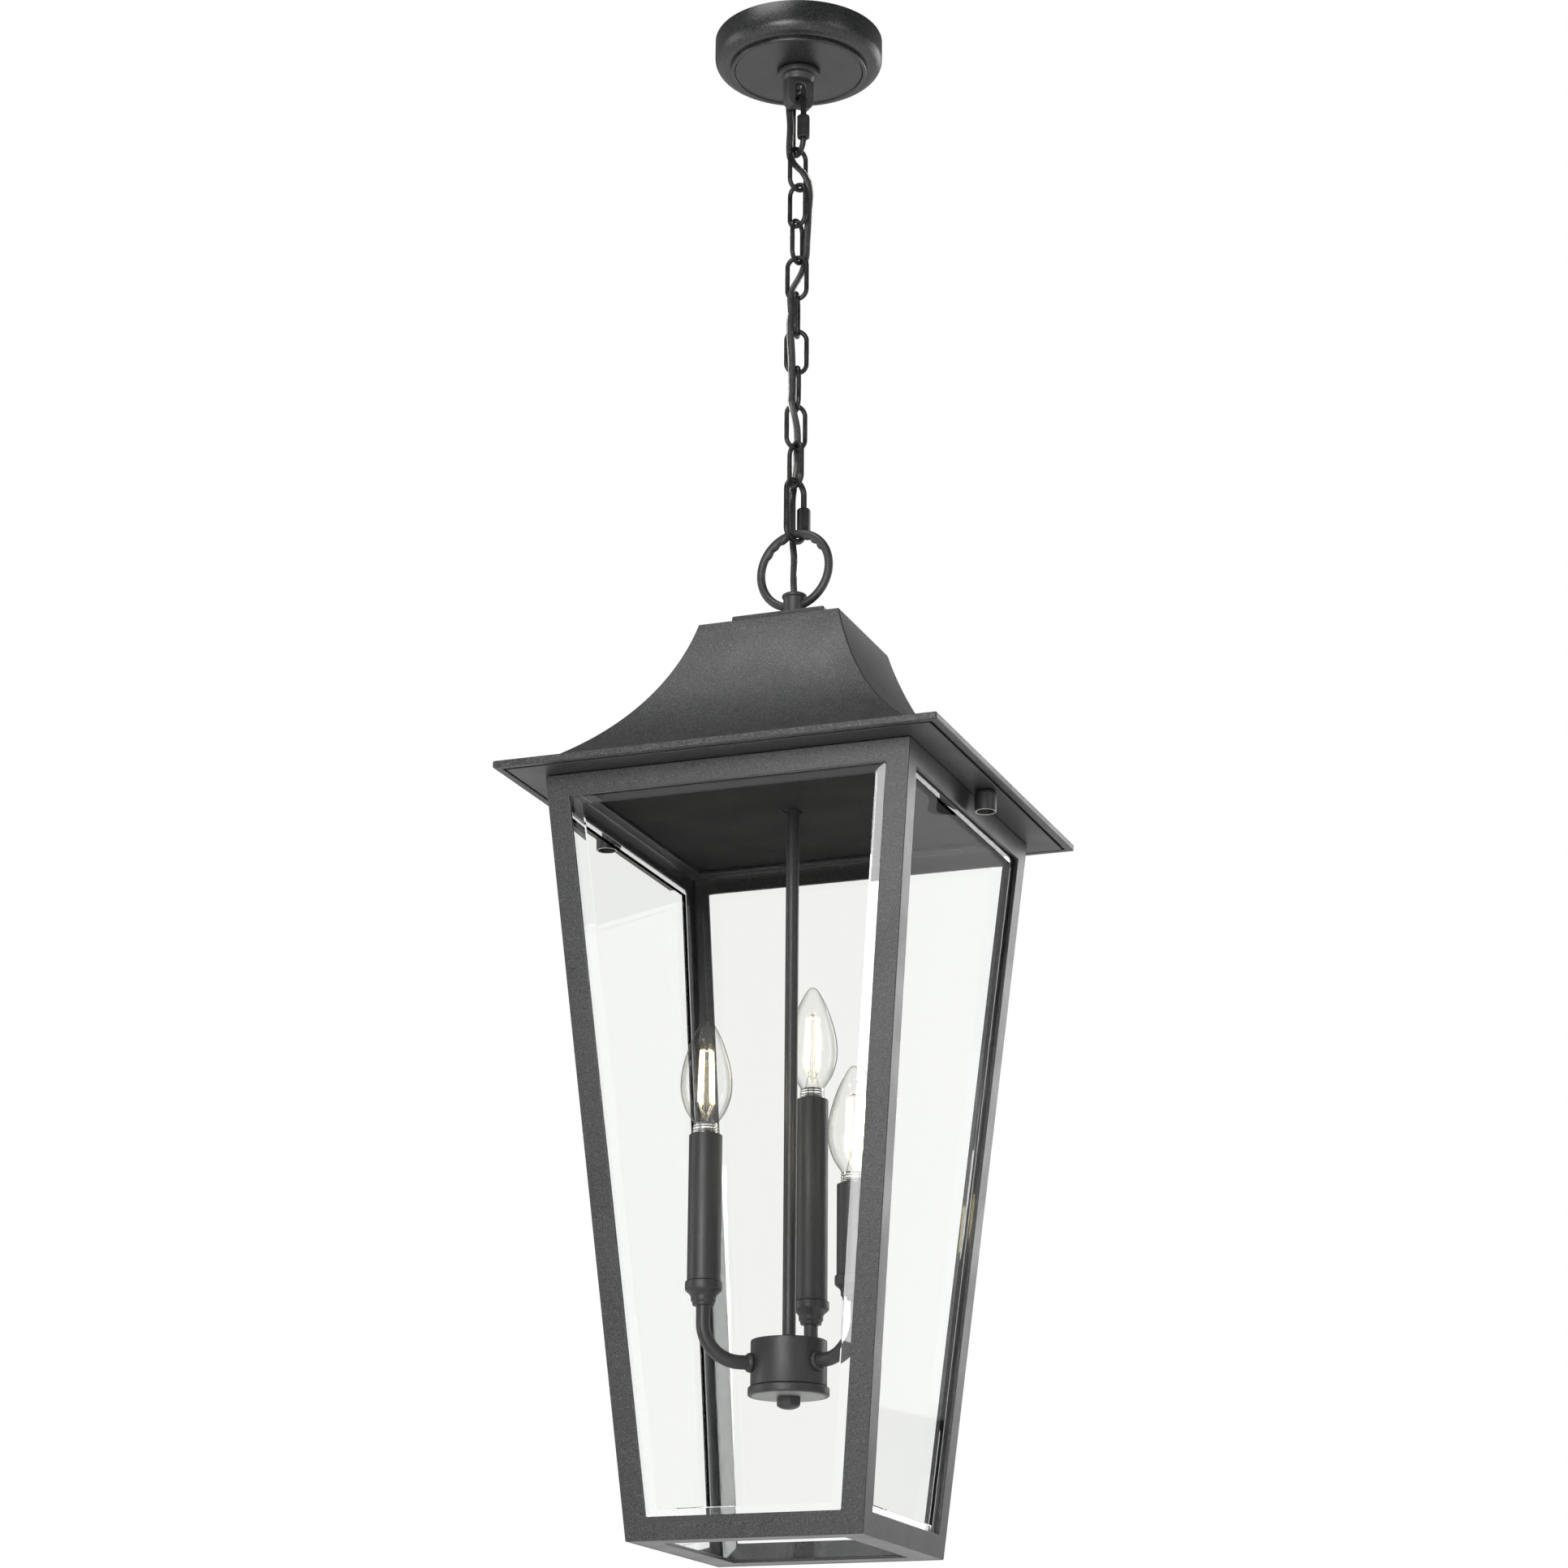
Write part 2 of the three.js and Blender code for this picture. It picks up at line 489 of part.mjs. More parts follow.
CANDLES.forEach(({ angle, length }, i) => {
  const n = i + 1;
  const candle = new THREE.Group();
  candle.rotation.z = angle * degrees;
  group.add(candle);
  const collar = bar(ARM.collarRadius, 0, ARM.collarLength, 20).rotateY(90 * degrees)
    .translate(HUB.radius + GAP, 0, ARM.level);
  addPart(`arm_${n}`, join(swept(new ArmCurve(), ARM.radius, 10, 12), collar), blackSteel, candle);
  addPart(`candle_cup_${n}`, turned([
    [0, CUP.bottom], [7.2, CUP.bottom], [7.2, CUP.bottom + 2], [8.6, CUP.bottom + 2.6],
    [8.2, CUP.bottom + 7], [CUP.rimRadius, CUP.bottom + 10.5], [CUP.rimRadius, CUP.top], [0, CUP.top],
  ], 20).translate(ARM.reach, 0, 0), blackSteel, candle);
  const sleeveBottom = CUP.top + GAP;
  const sleeveTop = CUP.top + length;
  addPart(`candle_sleeve_${n}`, tube(SLEEVE_RADIUS, SLEEVE_BORE, sleeveBottom, sleeveTop, 20)
    .translate(ARM.reach, 0, 0), blackSteel, candle);
  addPart(`lampholder_${n}`,
    bar(LAMPHOLDER.radius, sleeveTop - GAP - LAMPHOLDER.height, sleeveTop - GAP, 16)
      .translate(ARM.reach, 0, 0), ceramic, candle);
  addPart(`bulb_${n}`, turned(bulbProfile(sleeveTop), 18).translate(ARM.reach, 0, 0), clearGlass, candle);
});

export default group;
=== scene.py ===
import math

import bmesh
import bpy
from mathutils import Matrix, Vector


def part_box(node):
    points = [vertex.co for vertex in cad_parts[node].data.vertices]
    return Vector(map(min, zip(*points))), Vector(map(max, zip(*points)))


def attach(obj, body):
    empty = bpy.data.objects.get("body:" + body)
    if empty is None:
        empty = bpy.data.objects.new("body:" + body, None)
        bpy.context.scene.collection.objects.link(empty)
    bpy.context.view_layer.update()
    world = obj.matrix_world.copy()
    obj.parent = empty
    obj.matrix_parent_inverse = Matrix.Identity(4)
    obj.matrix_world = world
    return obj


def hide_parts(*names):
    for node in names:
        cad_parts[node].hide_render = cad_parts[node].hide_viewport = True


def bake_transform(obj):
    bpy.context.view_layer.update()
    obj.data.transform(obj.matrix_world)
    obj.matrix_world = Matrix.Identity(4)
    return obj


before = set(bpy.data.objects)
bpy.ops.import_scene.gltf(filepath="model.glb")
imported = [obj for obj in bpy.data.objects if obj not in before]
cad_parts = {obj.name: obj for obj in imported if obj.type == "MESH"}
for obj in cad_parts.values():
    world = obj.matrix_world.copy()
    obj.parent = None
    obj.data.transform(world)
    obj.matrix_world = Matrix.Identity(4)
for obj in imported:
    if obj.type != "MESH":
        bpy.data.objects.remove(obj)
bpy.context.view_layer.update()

# ------------------------------------------------------------------ driving dimensions, in metres
MM = 0.001
CEILING = 0.0
ROOF_TOP = -0.4735
CAGE_TOP = -0.600
CAGE_BOTTOM = -1.1056

CANOPY_RADIUS, CANOPY_DEPTH, CANOPY_SHOULDER = 0.0619, 0.024, 0.009
DISC_RADIUS, DISC_RISE = 0.0504, 0.002
COLLAR_RADIUS, COLLAR_TOP, COLLAR_BOTTOM = 0.0159, -0.0263, -0.030
LOOP_ANGLE, LOOP_WIDTH, LOOP_DEPTH = -44, 0.021, 0.0096
LOOP_TOP, LOOP_BOTTOM, LOOP_SLOT, LOOP_SLOT_TOP = -0.033, -0.056, 0.008, -0.036
LOOP_PIN, LOOP_PIN_LEVEL = 0.0035, -0.0525

QUICK_WIRE, QUICK_HALF, QUICK_LENGTH = 0.0043, 0.009, 0.0465
QUICK_GAP = 0.0054
SLEEVE_FLATS = 0.0088
LINK_WIRE, LINK_HALF, LINK_LENGTH = 0.0034, 0.0073, 0.033
LINKS = 9
FIRST_LINK_ANGLE, LINK_TWIST = 59, -79
BOTTOM_LINK_ANGLE = 68
RING_RADIUS, RING_WIRE, RING_ANGLE = 0.0275, 0.006, -9

CAGE_TOP_HALF, CAGE_BOTTOM_HALF = 0.130, 0.0808
FRAME_FACE, RAIL_HEIGHT, FRAME_SHEET = 0.016, 0.0152, 0.0025
BOTTOM_OPENING_HALF, TOP_FLANGE = 0.062, 0.014
PANE_THICKNESS, PANE_BEVEL = 0.003, 0.0175

HUB_RADIUS, HUB_TOP, HUB_HEIGHT = 0.0255, -0.9682, 0.0306
HUB_COVER_RADIUS = 0.0272
ARM_RADIUS, ARM_REACH, ARM_BEND, ARM_LEVEL = 0.00475, 0.059, 0.025, -0.984
CUP_TOP, CUP_BOTTOM = -0.932, -0.948
CANDLES = ((216, 0.099), (96, 0.1405), (336, 0.061))
BULB_BASE_HEIGHT, BULB_GLASS_HEIGHT = 0.0075, 0.073

# ------------------------------------------------------------------ materials


class Nodes:
    """A short way to lay out a material's nodes."""

    def __init__(self, name):
        self.material = bpy.data.materials.new(name)
        self.material.use_nodes = True
        self.tree = self.material.node_tree
        self.shader = self.tree.nodes["Principled BSDF"]
        self.output = self.tree.nodes["Material Output"]

    def add(self, kind, inputs=None, **settings):
        node = self.tree.nodes.new(kind)
        for key, value in settings.items():
            setattr(node, key, value)
        for key, value in (inputs or {}).items():
            if isinstance(value, bpy.types.NodeSocket):
                self.tree.links.new(value, node.inputs[key])
            else:
                node.inputs[key].default_value = value
        return node

    def set(self, **sockets):
        for key, value in sockets.items():
            socket = self.shader.inputs[key.replace("_", " ")]
            if isinstance(value, bpy.types.NodeSocket):
                self.tree.links.new(value, socket)
            else:
                socket.default_value = value

    def place(self):
        return self.add("ShaderNodeTexCoord").outputs["Object"]

    def noise(self, scale, detail=2.0, roughness=0.5):
        inputs = {"Vector": self.place(), "Scale": scale, "Detail": detail, "Roughness": roughness}
        return self.add("ShaderNodeTexNoise", inputs).outputs["Fac"]

    def ramp(self, factor, *stops):
        node = self.add("ShaderNodeValToRGB", {"Fac": factor})
        for element, (position, colour) in zip(node.color_ramp.elements, stops):
            element.position = position
            element.color = (*colour, 1)
        return node.outputs["Color"]

    def span(self, factor, low, high):
        inputs = {"Value": factor, "From Min": 0.3, "From Max": 0.7, "To Min": low, "To Max": high}
        return self.add("ShaderNodeMapRange", inputs).outputs["Result"]

    def bump(self, height, strength, distance, normal=None):
        inputs = {"Height": height, "Strength": strength, "Distance": distance}
        if normal is not None:
            inputs["Normal"] = normal
        return self.add("ShaderNodeBump", inputs).outputs["Normal"]


def powder_coat(name, dark, light, rough, grain=1500, depth=0.00012, specular=0.5):
    """Black powder coat: fine granular skin, tiny paler specks, and slow changes of gloss."""
    n = Nodes(name)
    fine = n.noise(grain, 3, 0.6)
    slow = n.noise(28, 2)
    n.set(
        Base_Color=n.ramp(fine, (0.45, dark), (0.68, light)),
        Roughness=n.span(slow, rough - 0.04, rough + 0.05),
        Normal=n.bump(slow, 0.15, 0.0006, n.bump(fine, 0.6, depth)),
        Specular_IOR_Level=specular,
    )
    return n.material


def chain_black(name):
    """Semi-gloss black plating over drawn wire, a little browner where it has rubbed."""
    n = Nodes(name)
    fine = n.noise(900, 3, 0.6)
    slow = n.noise(120, 3)
    n.set(
        Base_Color=n.ramp(slow, (0.35, (0.006, 0.006, 0.0065)), (0.75, (0.02, 0.019, 0.018))),
        Roughness=n.span(slow, 0.24, 0.42),
        Normal=n.bump(fine, 0.35, 0.00008),
        Metallic=0.35,
    )
    return n.material


def plain_metal(name, low, high, rough, grain=500):
    """Bare or plated metal with faint drawn lines of tone and gloss."""
    n = Nodes(name)
    mapping = n.add("ShaderNodeMapping", {"Vector": n.place(), "Scale": (1, 1, 0.12)})
    streak = n.add("ShaderNodeTexNoise", {"Vector": mapping.outputs[0], "Scale": grain, "Detail": 3.0})
    n.set(
        Base_Color=n.ramp(streak.outputs["Fac"], (0.3, low), (0.7, high)),
        Roughness=n.span(streak.outputs["Fac"], rough - 0.05, rough + 0.08),
        Normal=n.bump(streak.outputs["Fac"], 0.15, 0.00005),
        Metallic=1.0,
    )
    return n.material


def cord_black(name):
    """Satin PVC jacket."""
    n = Nodes(name)
    n.set(
        Base_Color=n.ramp(n.noise(700, 2), (0.35, (0.012, 0.012, 0.012)), (0.7, (0.03, 0.03, 0.03))),
        Roughness=n.span(n.noise(160, 2), 0.3, 0.42),
        Normal=n.bump(n.noise(350, 2), 0.25, 0.0001),
    )
    return n.material


def ceramic_white(name):
    """Off-white lampholder body."""
    n = Nodes(name)
    n.set(
        Base_Color=n.ramp(n.noise(90, 2), (0.3, (0.62, 0.58, 0.5)), (0.7, (0.75, 0.72, 0.66))),
        Roughness=n.span(n.noise(200, 2), 0.35, 0.5),
    )
    return n.material


def clear_glass(name, tint, edge_tint, gloss=1.0):
    """Thin clear glass: straight through, glossier and darker where it is seen edge-on."""
    n = Nodes(name)
    facing = n.add("ShaderNodeLayerWeight", {"Blend": 0.5}).outputs["Facing"]
    colour = n.ramp(facing, (0.3, tint), (0.95, edge_tint))
    through = n.add("ShaderNodeBsdfTransparent", {"Color": colour}).outputs[0]
    n.set(
        Base_Color=n.ramp(n.noise(12, 1), (0.3, (0.95, 0.96, 0.955)), (0.7, (0.99, 0.99, 0.99))),
        Normal=n.bump(n.noise(9, 1), 0.0, 0.002),
        Roughness=0.03, Metallic=1.0,
    )
    steep = n.add("ShaderNodeMath", {0: facing, 1: 5.0}, operation="POWER").outputs[0]
    inputs = {0: steep, 1: 0.9 * gloss, 2: 0.035 * gloss}
    amount = n.add("ShaderNodeMath", inputs, operation="MULTIPLY_ADD").outputs[0]
    mix = n.add("ShaderNodeMixShader", {0: amount, 1: through, 2: n.shader.outputs[0]})
    n.tree.links.new(mix.outputs[0], n.output.inputs["Surface"])
    return n.material


def bevel_glass(name):
    """Solid glass that bends what is seen through it, for the ground border of a pane."""
    n = Nodes(name)
    n.set(
        Base_Color=n.ramp(n.noise(14, 1), (0.3, (0.97, 0.985, 0.978)), (0.7, (0.99, 0.995, 0.992))),
        Normal=n.bump(n.noise(60, 1), 0.03, 0.0005),
        Roughness=0.0, IOR=1.5, Transmission_Weight=1.0,
    )
    return n.material


def glowing(name, colour, strength):
    """A lit filament, with small changes of heat along it."""
    hotter = tuple(min(1, c * 1.15) for c in colour)
    n = Nodes(name)
    n.set(
        Base_Color=n.ramp(n.noise(60, 1), (0.3, (0.9, 0.6, 0.25)), (0.7, (1.0, 0.75, 0.4))),
        Emission_Color=n.ramp(n.noise(120, 1), (0.25, colour), (0.75, hotter)),
        Emission_Strength=strength, Roughness=0.5,
    )
    return n.material


COAT = powder_coat("coat", (0.006, 0.0065, 0.0065), (0.065, 0.067, 0.067), 0.36)
COAT_ROOF = powder_coat("coat_roof", (0.006, 0.0065, 0.0065), (0.07, 0.072, 0.072), 0.42,
                        grain=1100, depth=0.0002)
COAT_SMOOTH = powder_coat("coat_smooth", (0.012, 0.012, 0.013), (0.05, 0.051, 0.05), 0.43,
                          grain=2000, depth=0.00008)
COVER = powder_coat("hub_cover_coat", (0.2, 0.21, 0.205), (0.28, 0.29, 0.28), 0.4,
                    grain=1800, depth=0.00006)
CANOPY = powder_coat("canopy_coat", (0.005, 0.0055, 0.0055), (0.03, 0.031, 0.031), 0.3,
                     grain=900, depth=0.0003)
# painted shade: a near-black, dull coat for the sheet that darkens the cage's ceiling, which is the same
# soffit lying in shade
CEILING_SHADE_COAT = powder_coat("ceiling_painted_shade", (0.003, 0.003, 0.003), (0.008, 0.008, 0.008), 0.8, specular=0.2)
CHAIN = chain_black("chain_plating")
ZINC = plain_metal("zinc", (0.42, 0.42, 0.41), (0.6, 0.6, 0.58), 0.38)
NICKEL = plain_metal("nickel", (0.8, 0.79, 0.76), (0.94, 0.93, 0.9), 0.2)
GROUND_WIRE = plain_metal("ground_wire", (0.5, 0.48, 0.44), (0.78, 0.76, 0.72), 0.3, grain=2500)
CORD = cord_black("cord_jacket")
CERAMIC = ceramic_white("lampholder_body")
PANE = clear_glass("pane_glass", (0.972, 0.974, 0.968), (0.93, 0.936, 0.93), gloss=0.1)
PANE_EDGE = bevel_glass("pane_bevel")
BULB = clear_glass("bulb_glass", (0.97, 0.97, 0.96), (0.5, 0.49, 0.46))
HOT = glowing("filament_hot", (1.0, 0.82, 0.5), 9.0)
WARM = glowing("filament_end", (1.0, 0.55, 0.08), 3.2)

# ------------------------------------------------------------------ mesh tools


def make_piece(name, bm, materials, body, replaces=(), bevel=0.0, bevel_steps=2, sharp=32):
    """Turns a bmesh into an object that rides on a body."""
    bmesh.ops.recalc_face_normals(bm, faces=bm.faces)
    mesh = bpy.data.meshes.new(name)
    bm.to_mesh(mesh)
    bm.free()
    for polygon in mesh.polygons:
        polygon.use_smooth = True
    mesh.set_sharp_from_angle(angle=math.radians(sharp))
    for material in materials if isinstance(materials, (list, tuple)) else [materials]:
        mesh.materials.append(material)
    obj = bpy.data.objects.new(name, mesh)
    bpy.context.scene.collection.objects.link(obj)
    if bevel:
        modifier = obj.modifiers.new("edges", "BEVEL")
        modifier.width = bevel
        modifier.segments = bevel_steps
        modifier.limit_method = "ANGLE"
        modifier.angle_limit = math.radians(32)
        modifier.harden_normals = True
    if body:
        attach(obj, body)
    if replaces:
        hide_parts(*replaces)
    return obj


def bridge(bm, lower, upper):
    """Quads between two rings of the same length; a ring of one point makes triangles."""
    count = max(len(lower), len(upper))
    for i in range(count):
        j = (i + 1) % count
        a, b = lower[i % len(lower)], lower[j % len(lower)]
        c, d = upper[j % len(upper)], upper[i % len(upper)]
        corners = [v for k, v in enumerate((a, b, c, d)) if v not in (a, b, c, d)[:k]]
        if len(corners) > 2:
            bm.faces.new(corners)


def lathe(bm, profile, sides=64, centre=(0.0, 0.0), start=0.0, closed=False, corner=1.0):
    """Turns (radius, height) points round a vertical axis. A closed profile is a loop of its own."""
    rings = []
    for radius, z in profile:
        if radius < 1e-7:
            rings.append([bm.verts.new((centre[0], centre[1], z))])
            continue
        ring = []
        for i in range(sides):
            a = start + 2 * math.pi * i / sides
            ring.append(bm.verts.new((
                centre[0] + radius * corner * math.cos(a), centre[1] + radius * corner * math.sin(a), z)))
        rings.append(ring)
    if closed:
        rings.append(rings[0])
    for lower, upper in zip(rings, rings[1:]):
        bridge(bm, lower, upper)


def square_lathe(bm, profile, closed=False):
    """The same with four flat sides; each point's first number is the half width."""
    lathe(bm, profile, 4, start=math.pi / 4, closed=closed, corner=math.sqrt(2))


def arc(centre, radius, start, end, steps):
    """Points on an arc in the profile plane, angles in degrees."""
    angles = [math.radians(start + (end - start) * i / steps) for i in range(steps + 1)]
    return [(centre[0] + radius * math.cos(a), centre[1] + radius * math.sin(a)) for a in angles]


def rounded(profile, radius, steps=3):
    """The profile with each inner corner point rounded off."""
    points = [Vector(p) for p in profile]
    result = [points[0]]
    for before, point, after in zip(points, points[1:], points[2:]):
        reach = min(radius, (before - point).length / 2.2, (after - point).length / 2.2)
        first = point + (before - point).normalized() * reach
        last = point + (after - point).normalized() * reach
        for i in range(steps + 1):
            t = i / steps
            result.append(first * (1 - t) ** 2 + point * 2 * t * (1 - t) + last * t ** 2)
    result.append(points[-1])
    return [tuple(p) for p in result]


def circle(radius, sides):
    return [(radius * math.cos(2 * math.pi * i / sides), radius * math.sin(2 * math.pi * i / sides))
            for i in range(sides)]


def tangents(path, closed):
    count = len(path)
    found = []
    for i in range(count):
        before = path[i - 1] if i or closed else path[0]
        after = path[(i + 1) % count] if i < count - 1 or closed else path[-1]
        found.append((after - before).normalized())
    return found


def sweep(bm, path, section, closed=False, side=None, scale=None):
    """Carries a section along a path. side gives the section's first direction, once or for each point."""
    directions = tangents(path, closed)
    rings = []
    across = None
    for i, (point, direction) in enumerate(zip(path, directions)):
        if side is not None:
            across = side[i] if isinstance(side, list) else side
        elif across is None:
            across = direction.orthogonal()
        across = (across - direction * across.dot(direction)).normalized()
        up = direction.cross(across)
        size = scale(i) if scale else 1.0
        rings.append([bm.verts.new(point + across * (x * size) + up * (y * size)) for x, y in section])
    if closed:
        rings.append(rings[0])
    for lower, upper in zip(rings, rings[1:]):
        bridge(bm, lower, upper)
    if not closed:
        bm.faces.new(rings[0])
        bm.faces.new(rings[-1])


def prism(bm, outline, depth):
    """Extrudes an outline in the XZ plane by depth, centred on Y = 0."""
    front = [bm.verts.new((x, -depth / 2, z)) for x, z in outline]
    back = [bm.verts.new((x, depth / 2, z)) for x, z in outline]
    bm.faces.new(front)
    bm.faces.new(back)
    bridge(bm, front, back)


def turn(bm, angle):
    bmesh.ops.rotate(bm, verts=bm.verts, cent=(0, 0, 0), matrix=Matrix.Rotation(math.radians(angle), 3, "Z"))


def plan(angle):
    """The level direction at an angle in degrees, from X towards Y."""
    return Vector((math.cos(math.radians(angle)), math.sin(math.radians(angle)), 0))


# ------------------------------------------------------------------ canopy and its fittings


def canopy():
    shoulder_out, shoulder_level = CANOPY_RADIUS - CANOPY_SHOULDER, -CANOPY_DEPTH + CANOPY_SHOULDER
    disc = -CANOPY_DEPTH - DISC_RISE
    sheet, hole = 0.0012, 0.0051
    face = disc + 0.0004  # the disc's face lies a little above the bead round it
    bead = arc((DISC_RADIUS - 0.0015, disc + 0.0009), 0.0015, -180, 0, 10)
    outside = [(hole, face), (DISC_RADIUS - 0.0036, face), *bead]
    groove = [(DISC_RADIUS, -CANOPY_DEPTH + 0.0006), (DISC_RADIUS + 0.0010, -CANOPY_DEPTH + 0.0006)]
    shoulder = arc((shoulder_out, shoulder_level), CANOPY_SHOULDER, -80, 0, 12)
    inner = arc((shoulder_out, shoulder_level), CANOPY_SHOULDER - sheet, 0, -90, 8)
    bm = bmesh.new()
    lathe(bm, [
        *outside, *groove, *shoulder, (CANOPY_RADIUS, -0.0006), (CANOPY_RADIUS - 0.0003, CEILING),
        (CANOPY_RADIUS - sheet, CEILING), *inner, (DISC_RADIUS - sheet, -CANOPY_DEPTH + sheet),
        (DISC_RADIUS - sheet, face + sheet), (hole, face + sheet),
    ], 144, closed=True)
    make_piece("canopy_cover", bm, CANOPY, "canopy", ["canopy_shell"])


def collar():
    bm = bmesh.new()
    lathe(bm, [
        (0.0051, COLLAR_BOTTOM), *rounded([(0.0123, COLLAR_BOTTOM), (COLLAR_RADIUS, COLLAR_BOTTOM),
                                          (COLLAR_RADIUS, COLLAR_TOP), (0.0051, COLLAR_TOP)], 0.0008),
    ], 72, closed=True)
    make_piece("canopy_collar", bm, COAT_SMOOTH, "canopy", ["collar_ring"])


def collar_loop():
    half, inner, lower = LOOP_WIDTH / 2, LOOP_SLOT / 2, 0.0055
    right = [(half, LOOP_TOP), (half, LOOP_BOTTOM + lower), (half - 0.0012, LOOP_BOTTOM + 0.0024),
             (half - 0.0042, LOOP_BOTTOM), (inner, LOOP_BOTTOM), (inner, LOOP_SLOT_TOP - inner)]
    top = [(inner * math.sin(a), LOOP_SLOT_TOP - inner + inner * math.cos(a))
           for a in (math.pi / 2 * (1 - i / 5) for i in range(1, 10))]
    outline = right + top + [(-x, z) for x, z in reversed(right)]
    bm = bmesh.new()
    prism(bm, outline, LOOP_DEPTH)
    turn(bm, LOOP_ANGLE + 90)
    make_piece("collar_eye", bm, COAT_SMOOTH, "canopy", ["collar_loop"],
               bevel=0.0009, bevel_steps=3)
    bm = bmesh.new()
    across = plan(LOOP_ANGLE + 90)
    middle = Vector((0, 0, LOOP_PIN_LEVEL))
    ends = [middle + across * (inner + 0.0012) * t for t in (-1, -0.5, 0, 0.5, 1)]
    sweep(bm, ends, circle(LOOP_PIN, 28), side=Vector((0, 0, 1)))
    make_piece("collar_eye_bar", bm, COAT_SMOOTH, "canopy")
    bm = bmesh.new()
    lathe(bm, rounded([
        (0, LOOP_TOP - 0.0012), (0.0101, LOOP_TOP - 0.0012), (0.0105, LOOP_TOP),
        (0.0122, COLLAR_BOTTOM - 0.0002), (0, COLLAR_BOTTOM - 0.0002)], 0.0004), 64)
    make_piece("collar_neck", bm, COAT_SMOOTH, "canopy")


# ------------------------------------------------------------------ chain


def stadium(half, length, top, angle, steps=96, gap=None):
    """Points round a link's centre line. gap leaves out a stretch of the leg on the angle's side."""
    straight = length - 2 * half
    bend = math.pi * half
    total = 2 * (straight + bend)
    first, span = (gap[1], total - (gap[1] - gap[0])) if gap else (0.0, total)
    direction = plan(angle)
    points = []
    for i in range(steps + (1 if gap else 0)):
        s = (first + span * i / steps) % total
        if s <= straight:
            x, z = half, -straight / 2 + s
        elif s <= straight + bend:
            a = (s - straight) / half
            x, z = half * math.cos(a), straight / 2 + half * math.sin(a)
        elif s <= 2 * straight + bend:
            x, z = -half, straight / 2 - (s - straight - bend)
        else:
            a = math.pi + (s - 2 * straight - bend) / half
            x, z = half * math.cos(a), -straight / 2 + half * math.sin(a)
        points.append(direction * x + Vector((0, 0, top - length / 2 + z)))
    return points


def chain_link(index, top):
    angle = FIRST_LINK_ANGLE + index * LINK_TWIST
    path = stadium(LINK_HALF, LINK_LENGTH, top, angle, 80)
    weld = 9  # the butt weld, part of the way down one leg

    def swell(i):
        return 1 + 0.05 * math.exp(-((i - weld) / 1.3) ** 2)

    bm = bmesh.new()
    sweep(bm, path, circle(LINK_WIRE / 2, 18), closed=True, side=plan(angle + 90), scale=swell)
    node = f"chain_link_{index + 1}"
    make_piece(f"link_{index + 1}", bm, CHAIN, node, [node])


def quick_link(which, top, angle):
    node = f"{which}_quick_link"
    steps = 110
    path = stadium(QUICK_HALF, QUICK_LENGTH, top, angle, steps, gap=(0.002, 0.002 + QUICK_GAP))

    def thread(i):
        return 1 + 0.05 * math.cos(math.pi * i) if i < 7 or i > steps - 4 else 1.0

    bm = bmesh.new()
    sweep(bm, path, circle(QUICK_WIRE / 2, 20), side=plan(angle + 90), scale=thread)
    make_piece(f"{which}_quick_link_wire", bm, CHAIN, node, [node])
    low, high = (corner.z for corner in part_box(f"{which}_link_sleeve"))
    side_count = 48
    chamfer = ((0.0, 0.0040), (0.0003, 0.0043), (0.0008, 0.0048), (0.0014, 0.0056))
    levels = [(low + up, limit) for up, limit in chamfer]
    levels += [(high - up, limit) for up, limit in reversed(chamfer)]
    centre = plan(angle) * QUICK_HALF
    bore = QUICK_WIRE / 2 + 0.0003
    bm = bmesh.new()

    def ring_at(z, limit, flats=True):
        ring = []
        for i in range(side_count):
            a = 2 * math.pi * i / side_count
            flat = SLEEVE_FLATS / 2 / math.cos((a + math.pi / 6) % (math.pi / 3) - math.pi / 6)
            radius = min(flat, limit) if flats else limit
            ring.append(bm.verts.new(centre + radius * plan(math.degrees(a) + angle) + Vector((0, 0, z))))
        return ring

    rings = [ring_at(low, bore, False), *[ring_at(z, limit) for z, limit in levels],
             ring_at(high, bore, False)]
    for lower, upper in zip(rings, rings[1:] + rings[:1]):
        bridge(bm, lower, upper)
    sleeve = f"{which}_link_sleeve"
    make_piece(f"{which}_sleeve_nut", bm, CHAIN, sleeve, [sleeve], sharp=20)


def chain():
    for which, angle in (("top", LOOP_ANGLE), ("bottom", BOTTOM_LINK_ANGLE)):
        quick_link(which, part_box(f"{which}_quick_link")[1].z - QUICK_WIRE / 2, angle)
    for index in range(LINKS):
        chain_link(index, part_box(f"chain_link_{index + 1}")[1].z - LINK_WIRE / 2)


# ------------------------------------------------------------------ hanging ring, boss and roof


